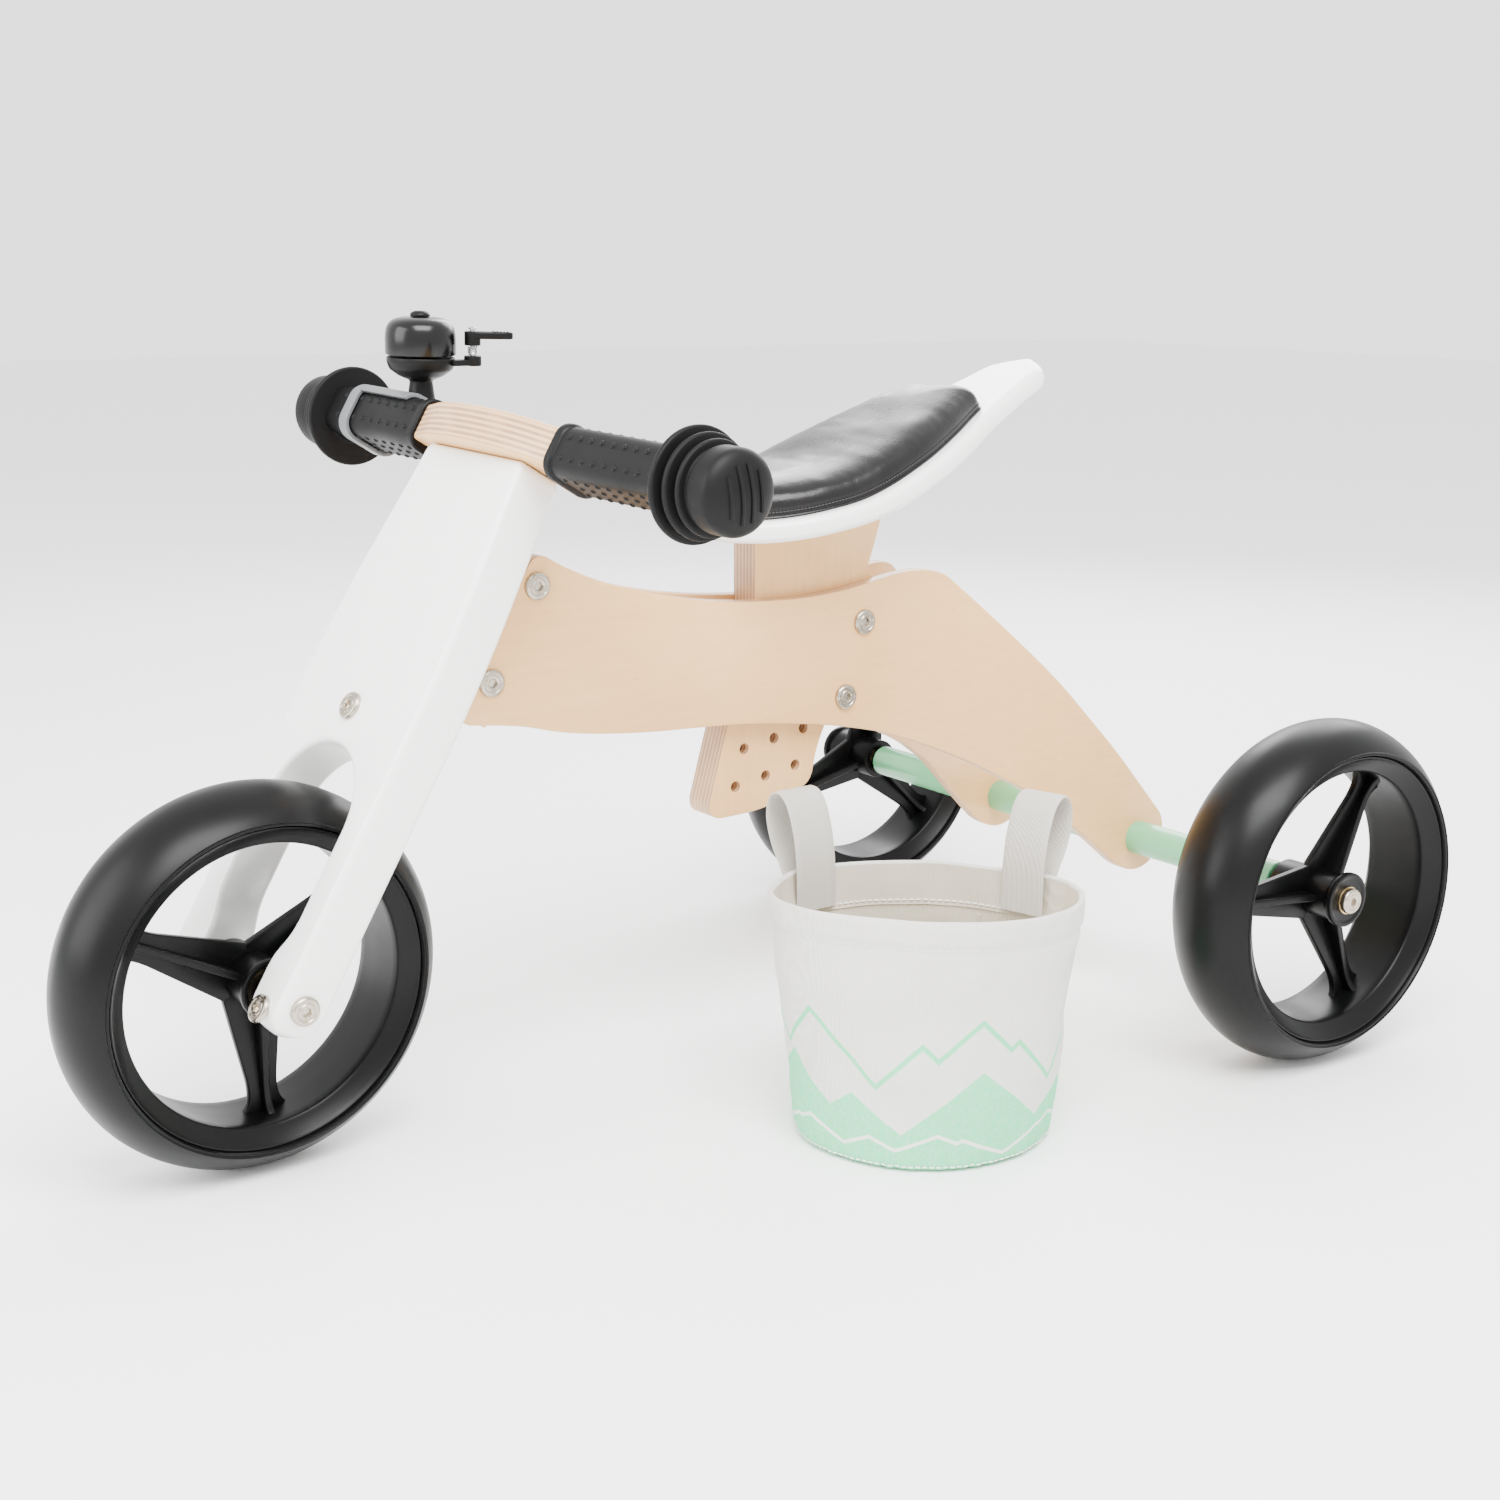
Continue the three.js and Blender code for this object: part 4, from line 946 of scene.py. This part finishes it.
def grip(side, sign):
    bm = bmesh.new()
    rings = []
    for y, extra in ((62.6, -3.6), (62.0, -1.2), (62.0, 0.6), (62.7, 1.4), (66.0, 1.5), (67.0, 1.1),
                     (67.8, 0.1),
                     (69.0, 0.0), (110.0, 0.0), (152.0, 0.0), (160.0, 0.0)):
        rings.append([bm.verts.new((n, y, u)) for n, u in grip_loop(extra)])
    skin(bm, rings)
    low, high = BAR_MIDDLE - GRIP_HALF_T, BAR_MIDDLE + GRIP_HALF_T
    front, back = GRIP_CENTRE + GRIP_HALF_W, GRIP_CENTRE - GRIP_HALF_W
    for k in range(9):
        y = 73.5 + 9.0 * k
        for shift in (-5.5, 5.5):
            dome(bm, (front, y, BAR_MIDDLE + shift), (1, 0, 0), 1.5, 0.9)
            dome(bm, (back, y, BAR_MIDDLE + shift), (-1, 0, 0), 1.5, 0.9)
        for shift in (-8.0, 0.0, 8.0):
            dome(bm, (GRIP_CENTRE + shift, y + 4.5 * (shift == 0), low), (0, 0, -1), 1.5, 0.9)
            dome(bm, (GRIP_CENTRE + shift, y + 4.5 * (shift == 0), high), (0, 0, 1), 1.5, 0.9)
    ends = rounded([(9.0, 151.5), (13.6, 152.0), (14.6, 158.0), (27.5, 158.0), (27.5, 161.4), (17.0, 161.4),
                    (17.0, 165.0), (25.0, 165.0), (25.0, 168.2), (17.0, 168.2), (17.0, 171.6), (22.6, 171.6),
                    (22.6, 174.6), (18.2, 174.6), (18.2, 177.6), (20.4, 177.6), (20.4, 188.0)], 1.3, 3)
    cap = bezier((20.4, 188), (20, 193), (15, 195.4), (0.0, 197.0), steps=12)[1:]
    centre = (GRIP_CENTRE, 0, BAR_MIDDLE)
    revolve(bm, [(0.0, 151.5)] + ends + cap, 96, "Y", centre)
    lean = math.radians(52)
    for off, reach in ((-8.7, 9.5), (-2.9, 13.5), (2.9, 13.5), (8.7, 9.5)):
        path = []
        for i in range(13):
            run = reach * (i / 6 - 1)
            r = math.hypot(run, off)
            y = -along_line([(r0, -y0) for r0, y0 in cap], r)
            path.append((GRIP_CENTRE + run * math.cos(lean) - off * math.sin(lean), y + 0.1,
                         BAR_MIDDLE + run * math.sin(lean) + off * math.cos(lean)))
        bead_line(bm, path, 1.2)
    out = Matrix.Scale(sign, 4, (0, 1, 0))
    add_piece(f"grip_{side}_moulding", bm, FORK @ out, "grip", "steering", "grip_rubber",
              [f"grip_{side}"], 35)


grip("left", 1)
grip("right", -1)


# ---------------------------------------------------------------- bell
bm = bmesh.new()
revolve(bm, [(3.4, 43.6), (7.0, 43.6), (10.0, 43.4), (13.0, 42.7), (15.5, 41.5), (17.2, 39.8), (18.2, 37.7),
             (18.8, 35.0), (19.0, 32.0), (19.0, 24.4), (18.8, 23.8), (18.3, 23.6), (17.7, 23.8), (17.5, 24.4),
             (17.4, 32.0), (16.6, 37.2), (14.4, 40.4), (9.6, 41.8), (3.4, 42.0)], 96, "Z")
add_piece("bell_cup", bm, BELL, "gloss", "steering", "bell_gloss", ["bell_dome"], 45)

bm = bmesh.new()
revolve(bm, [(0.0, 43.7), (5.2, 43.8), (5.4, 44.3), (5.2, 45.2), (4.4, 46.1), (2.8, 46.7), (0.0, 46.9)],
        48, "Z")
add_piece("bell_cap", bm, BELL, "plastic", "steering", "bell_plastic", ["bell_cap_nut"], 45)

bm = bmesh.new()
revolve(bm, [(0.0, -7.8)] + rounded([(8.8, -7.8), (7, 3), (6.1, 10), (12, 12.4), (17, 16), (18.4, 20),
                                     (18.4, 22.4),
                                     (17.4, 22.6), (3.2, 22.6), (3.2, 43.2)], 1.2, 4) + [(0.0, 43.2)],
                                     80, "Z")
bracket = [(-27, 10.5), (-10, 10.5), (-10, 17.5), (-27, 17.5)]
merge(bm, board([rounded(bracket, 2.0, 4, True)], 18.4, 21.6, 0.7))
revolve(bm, rounded([(1.4, 18.2), (4.7, 18.2), (4.7, 23.5), (1.4, 23.5)], 0.5, 2), 40, "Z", (*LEVER_PIN, 0))
add_piece("bell_bowl", bm, BELL, "plastic", "steering", "bell_plastic", ["bell_base"], 38)

bm = bmesh.new()
revolve(bm, [(0.0, 20.3), (1.3, 20.3), (1.3, 37.6), (2.2, 37.7), (2.3, 38.3), (1.6, 38.9), (0.0, 39.1)],
        24, "Z",
        (*LEVER_PIN, 0))
add_piece("bell_pin", bm, BELL, "zinc", "steering", "zinc_steel", ["bell_lever_pin"])

bm = bmesh.new()
turns = 4.5
coil = []
for i in range(int(turns * 24) + 1):
    angle = 2 * math.pi * i / 24
    rise = 24.4 + 3.9 * i / (turns * 24)
    coil.append((LEVER_PIN[0] + 2.4 * math.cos(angle), LEVER_PIN[1] + 2.4 * math.sin(angle), rise))
bead_line(bm, coil, 0.4)
add_piece("bell_coil", bm, BELL, "zinc", "steering", "zinc_steel", ["bell_spring"])

bm = bmesh.new()
tab = rounded([(-22.5, 9.8), (-27, 9), (-40, 19), (-44, 25), (-39, 26), (-27, 20.4), (-22, 18)], 2.5, 4, True)
merge(bm, board([tab, arc(*LEVER_PIN, 1.7, 0, 345, 23)], 32.6, 36.4, 0.8))
revolve(bm, rounded([(1.5, 29.0), (4.4, 29.0), (4.4, 36.5), (1.5, 36.5)], 0.5, 2), 40, "Z", (*LEVER_PIN, 0))
for k in range(5):
    start, end = Vector((-35.0 - 1.6 * k, 17.0 + 1.4 * k, 36.4)), Vector((-33.0 - 1.5 * k,
                                                                          22.6 + 0.6 * k, 36.4))
    bead_line(bm, [start, start.lerp(end, 0.5), end], 0.45)
add_piece("bell_thumb_lever", bm, BELL, "plastic", "bell_lever", "bell_plastic", ["bell_lever"], 38)

SADDLE_LOW = 305.6
bm = board([grip_loop(2.7), grip_loop(0.3)[::-1]], 130, 138, 0.6)
saddle = [p for p in grip_loop(2.7)[:26] if p[1] > SADDLE_LOW]
under = [p for p in grip_loop(0.3)[:26] if p[1] > SADDLE_LOW]
merge(bm, board([saddle + under[::-1]], 84, 131.5, 0.5))
reshape(bm, lambda p: Vector((p.x, -p.z, p.y)))
lug = board([rounded([(-21, 288), (-26.5, 288), (-26.5, 302), (-21, 302)], 1.5, 3, True)], -137.5,
            -130.5, 0.8)
merge(bm, reshape(lug, lambda p: Vector((p.x, p.z, p.y))))
add_piece("bell_band", bm, FORK, "band", "steering", "bell_plastic", ["bell_clamp"], 38)


# ---------------------------------------------------------------- canvas bag
def cloth(name, colour, inner=False):
    look = Look(name, colour, 0.86)
    height = weave(look, 380.0, 0.0005, 0.8)
    look.tint(look.remap(look.noise(30.0, (1, 1, 1), 4.0), 0.4, 0.7, 0.0, 0.35), darker(colour, 0.88))
    # painted shade: the weave's low places, between the threads, are darkened
    look.tint(look.remap(height, 0.25, 0.7, 0.55, 0.0), darker(colour, 0.7))
    return look


def printed_canvas():
    """Pale canvas with a mint band of hills round its lower half and a zigzag line above them."""
    look = cloth("canvas", CANVAS)
    spot = look.node("ShaderNodeSeparateXYZ", {0: look.node("ShaderNodeUVMap").outputs["UV"]})
    across, up = spot.outputs[0], spot.outputs[1]

    def ridge(low, high, count, shift=0.0):
        """A zigzag's height where the way round is 0 to 1."""
        place = look.math("ADD", look.math("MULTIPLY", across, count * 2.0), shift)
        return look.remap(look.math("PINGPONG", place, 1.0), 0.0, 1.0, low, high)

    def line(height, width):
        off = look.math("ABSOLUTE", look.math("SUBTRACT", up, height))
        return look.remap(off, width, width + 0.4, 1.0, 0.0)

    hills = look.math("MAXIMUM", ridge(8, 52, 4, 0.4), ridge(17, 38, 7, 0.1))
    worn = look.remap(look.noise(500.0, (1, 1, 1), 2.0), 0.3, 0.5, 0.75, 1.0)
    filled = look.math("MULTIPLY", look.remap(look.math("SUBTRACT", hills, up), -0.2, 0.2, 0.0, 1.0), worn)
    look.tint(filled, MINT_PRINT)
    look.tint(line(look.math("MAXIMUM", ridge(36, 78, 5, 0.3), ridge(42, 66, 9, 0.9)), 1.5), MINT_PRINT)
    look.tint(line(look.math("MAXIMUM", ridge(7, 17, 9), ridge(5, 20, 6, 0.7)), 0.8), CANVAS)
    return look.material


CANVAS = (0.70, 0.69, 0.655)
MINT_PRINT = (0.13, 0.60, 0.29)
MATERIALS["canvas"] = printed_canvas()
MATERIALS["lining"] = cloth("lining", (0.66, 0.60, 0.48)).material
MATERIALS["webbing"] = cloth("webbing", (0.55, 0.52, 0.47)).material
MATERIALS["thread"] = satin("thread", (0.78, 0.77, 0.73), 0.7).material
MATERIALS["thread_dark"] = satin("thread_dark", (0.03, 0.03, 0.03), 0.6).material
BAG_STEPS = 288


def bag_radius(z):
    return along_line([(0, 66.0), (4, 68.2), (20, 69.5), (130, 71.5)], z)


def bag_point(share, z, inward=0.0):
    """A point on the bag's soft wall; share is the way round, from 0 to 1."""
    angle = 2 * math.pi * share
    rise = min(max(z / BAG_H, 0.0), 1.05)
    narrow, wide = 1 + (MOUTH_NARROW - 1) * rise, 1 + (MOUTH_WIDE - 1) * rise
    ring = Vector((math.cos(angle), math.sin(angle)))
    sag = wobble(ring.x * 1.6, ring.y * 1.6, z * 0.016) * 3.0
    fold = wobble(ring.x * 4.0 + z * 0.02, ring.y * 4.0, z * 0.05) * 1.5
    pucker = wobble(ring.x * 16, ring.y * 16, 5) * 1.6 * max(0.0, 1 - z / 18)
    hem = 0.55 if z > BAG_H - 14 else 0.0
    groove = -1.0 * math.exp(-((z - (BAG_H - 14.5)) / 1.0) ** 2)
    radius = bag_radius(z) + (sag + fold) * min(1.0, 0.25 + z / 60) + pucker + hem + groove - inward
    wave = wobble(ring.x * 1.3, ring.y * 1.3, 9) * 1.6 * rise
    return Vector((ring.x * radius * narrow, ring.y * radius * wide, z + wave))


def wall_sheet(name, profile, look, slot, replaces=()):
    """A skin round the bag through (height, inward) places, mapped by way round and height."""
    bm = bmesh.new()
    mapping = bm.loops.layers.uv.new("map")
    rings = []
    for z, inward in profile:
        rings.append([bm.verts.new(bag_point(i / BAG_STEPS, z, inward)) for i in range(BAG_STEPS)])
    heights = [z for z, _ in profile]
    for low, high, z0, z1 in zip(rings, rings[1:], heights, heights[1:]):
        for i in range(BAG_STEPS):
            j = (i + 1) % BAG_STEPS
            face = bm.faces.new([low[i], low[j], high[j], high[i]])
            for loop, spot in zip(face.loops, ((i, z0), (i + 1, z0), (i + 1, z1), (i, z1))):
                loop[mapping].uv = (spot[0] / BAG_STEPS, spot[1])
    return add_piece(name, bm, BAG, look, "bag", slot, replaces, 60)


outer = [(0.6, 8.0), (0.3, 4.0), (0.8, 1.6), (1.8, 0.6), (3.0, 0.1)] + [(5 + 2.5 * i, 0.0) for i in range(49)]
rim = [(127.6, 0.0), (129.0, 0.3), (129.8, 1.0), (130.0, 1.6), (129.6, 2.4), (128.4, 2.9)]
wall = wall_sheet("bag_wall", outer + rim, "canvas", "bag_canvas", ["bag"])
inner = [(128.4, 2.9), (120, 3.0), (110, 3.0), (105.6, 3.0), (105.0, 3.3), (104.6, 2.4)]
inner += [(104.0 - 2.6 * i, 2.4) for i in range(39)] + [(3.4, 2.6), (2.6, 4.0), (2.4, 9.0)]
lining = wall_sheet("bag_lining", inner, "lining", "bag_canvas")
bm = bmesh.new()
rings = [[bm.verts.new((0, 0, 2.6))]]
for share in (0.1, 0.25, 0.4, 0.55, 0.7, 0.82, 0.92):
    rings.append([])
    for i in range(BAG_STEPS):
        spot = bag_point(i / BAG_STEPS, 2.4, 9.0) * share / 0.92
        lift = wobble(spot.x * 0.04, spot.y * 0.04, 2) * 0.7
        rings[-1].append(bm.verts.new((spot.x, spot.y, 2.5 + max(lift, -0.2))))
skin(bm, rings)
floor_cloth = add_piece("bag_floor", bm, BAG, "lining", "bag", "bag_canvas", (), 60)
bm = bmesh.new()
rings = [[bm.verts.new((0, 0, 0.5))]]
for share in (0.5, 1.0):
    rings.append([bm.verts.new((bag_point(i / BAG_STEPS, 0.6, 8.0) * share).to_2d().to_3d()
                               + Vector((0, 0, 0.5))) for i in range(BAG_STEPS)])
skin(bm, rings)
base_cloth = add_piece("bag_base", bm, BAG, "canvas", "bag", "bag_canvas", (), 60)


def stitches(name, z, inward, count, look="thread"):
    bm = bmesh.new()
    for k in range(count):
        shares = [(k + 0.12 + 0.33 * i) / count for i in range(3)]
        bead_line(bm, [bag_point(s, z, inward) for s in shares], 0.42, 6)
    return add_piece(name, bm, BAG, look, "bag", "bag_canvas")


hem_thread = stitches("bag_hem_stitching", BAG_H - 14.5, -0.15, 130)
inner_thread = stitches("bag_lining_stitching", BAG_H - 22.5, 3.25, 120)
base_thread = stitches("bag_base_stitching", 3.2, -0.2, 120)
bm = bmesh.new()
bead_line(bm, [bag_point(0.44, 6 + 5 * i, 2.9) for i in range(20)], 0.7)
side_seam = add_piece("bag_side_seam", bm, BAG, "lining", "bag", "bag_canvas")

STITCH_OUT = 7.0
STRAP_LINE = [(-5.6, -22), (-5.6, -6), (-4.8, 7), (-2, 21), (4, 35), (12, 40.5), (19.5, 37), (22, 26),
              (17.5, 12),
              (10, 1), (5.8, -8), (4.8, -18)]


def strap(place, degrees):
    """A webbing loop over the rim, one end sewn inside and one outside."""
    theta = math.radians(degrees)
    narrow, wide = 70.25 * MOUTH_NARROW, 70.25 * MOUTH_WIDE
    spot = Vector((narrow * math.cos(theta), wide * math.sin(theta), BAG_H))
    angle = math.atan2(narrow * math.sin(theta), wide * math.cos(theta))
    local = Matrix.Translation(spot) @ Matrix.Rotation(angle, 4, "Z")
    line = [Vector(p) for p in spline(STRAP_LINE, 6)]
    bm = bmesh.new()
    rings = []
    across = 14
    for i, point in enumerate(line):
        ahead = (line[min(i + 1, len(line) - 1)] - line[max(i - 1, 0)]).normalized()
        out = Vector((-ahead.y, ahead.x))
        ring = []
        for side in (1, -1):
            for k in range(across + 1):
                w = (k / across - 0.5) * side
                edge = 0.5 + 0.5 * math.cos(math.pi * min(1.0, max(0.0, (abs(w) - 0.42) / 0.08)))
                half = 0.35 + 0.65 * edge
                rib = 0.09 * math.cos(w * 44)
                spot = point + out * (side * (half + rib))
                ring.append(bm.verts.new((spot.x, w * STRAP_W, spot.y)))
        rings.append(ring)
    skin(bm, rings)
    bm.faces.new(rings[0])
    bm.faces.new(list(reversed(rings[-1])))
    length = sum((b - a).length for a, b in zip(line, line[1:]))
    loop = add_piece(f"bag_loop_{place}", bm, BAG @ local, "webbing", "bag", "bag_webbing",
                     [f"bag_strap_{place}"], 50)
    bm = bmesh.new()
    for row in (-9.0, -15.0):
        for k in range(7):
            start = (k - 3.4) * 3.4
            bead_line(bm, [(STITCH_OUT, start, row), (STITCH_OUT, start + 2.4, row)], 0.32, 6)
    thread = add_piece(f"bag_loop_{place}_stitching", bm, BAG @ local, "thread", "bag", "bag_webbing")
    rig.sheet(loop, flat=(STRAP_W * MM, length * MM), held="folded", rests_on=["bag_wall"],
             with_pieces=[thread])


seat_pad()
for place, degrees in STRAP_PLACES:
    strap(place, degrees)
GIRTH = 0.445
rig.sheet(wall, flat=(GIRTH, 0.139), held="stretched", rests_on=["bag_base"],
         with_pieces=[hem_thread, base_thread])
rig.sheet(lining, flat=(GIRTH, 0.137), held="stretched", rests_on=["bag_wall"],
         with_pieces=[inner_thread, side_seam])
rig.sheet(floor_cloth, flat=(0.125, 0.125), held="laid", rests_on=["bag_base"], area=0.0113)
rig.sheet(base_cloth, flat=(0.125, 0.125), held="laid", rests_on=["bag_wall"], area=0.0113)

# ---------------------------------------------------------------- the frame's own pieces that stay
KEPT = {"seat_screw_front": "zinc", "seat_screw_rear": "zinc", "head_block": "post"}
for name, node in frame["nodes"].items():
    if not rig.alive(node):
        continue
    look = KEPT.get(name, "nylon" if "spacer" in name else "zinc")
    node.data.materials.clear()
    node.data.materials.append(MATERIALS[look])

# ---------------------------------------------------------------- camera, floor and light
scene = bpy.context.scene
YAW, PITCH, ROLL = -2.2151, -0.2547, 0.0101
forward = Vector((math.cos(PITCH) * math.cos(YAW), math.cos(PITCH) * math.sin(YAW), math.sin(PITCH)))
right = forward.cross(Vector((0, 0, 1))).normalized()
up = right.cross(forward)
turned_right = right * math.cos(ROLL) + up * math.sin(ROLL)
turned_up = up * math.cos(ROLL) - right * math.sin(ROLL)
camera_data = bpy.data.cameras.new("camera")
camera_data.sensor_width = 36.0
camera_data.lens = 51.19
camera_data.shift_x = -0.0347
camera_data.shift_y = 0.0396
camera_data.clip_start = 0.05
camera = bpy.data.objects.new("camera", camera_data)
camera.matrix_world = Matrix((turned_right, turned_up, -forward)).transposed().to_4x4()
camera.location = (0.6632, 0.9724, 0.4507)
scene.collection.objects.link(camera)
scene.camera = camera

floor_mesh = bpy.data.meshes.new("floor")
floor_mesh.from_pydata([(-8, -8, 0), (8, -8, 0), (8, 8, 0), (-8, 8, 0)], [], [(0, 1, 2, 3)])
floor_look = Look("floor", (0.93, 0.93, 0.93), 0.75)
floor_look.tint(floor_look.remap(floor_look.noise(0.7), 0.3, 0.7, 0.0, 0.1), (0.90, 0.90, 0.90))
floor_mesh.materials.append(floor_look.material)
floor = bpy.data.objects.new("floor", floor_mesh)
scene.collection.objects.link(floor)
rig.stage(floor)

world = bpy.data.worlds.new("studio")
world.use_nodes = True
world.node_tree.nodes["Background"].inputs["Color"].default_value = (1, 1, 1, 1)
world.node_tree.nodes["Background"].inputs["Strength"].default_value = 2.3
scene.world = world


def softbox(name, spot, target, size, watts):
    data = bpy.data.lights.new(name, "AREA")
    data.shape = "RECTANGLE"
    data.size, data.size_y = size
    data.energy = watts
    light = bpy.data.objects.new(name, data)
    light.location = spot
    light.rotation_euler = (Vector(target) - Vector(spot)).to_track_quat("-Z", "Y").to_euler()
    scene.collection.objects.link(light)


softbox("key", (0.4, 1.0, 1.7), (0, 0, 0.15), (1.4, 1.0), 100)
softbox("fill", (1.6, -0.3, 0.9), (0, 0, 0.2), (1.0, 1.2), 34)
softbox("back", (-1.3, -0.9, 1.2), (0, 0, 0.2), (1.4, 1.0), 44)

with open("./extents.json", "w") as file:
    json.dump({"cad": [list(v) for v in cad_box], "visual": [list(v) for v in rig.bounds()]}, file)
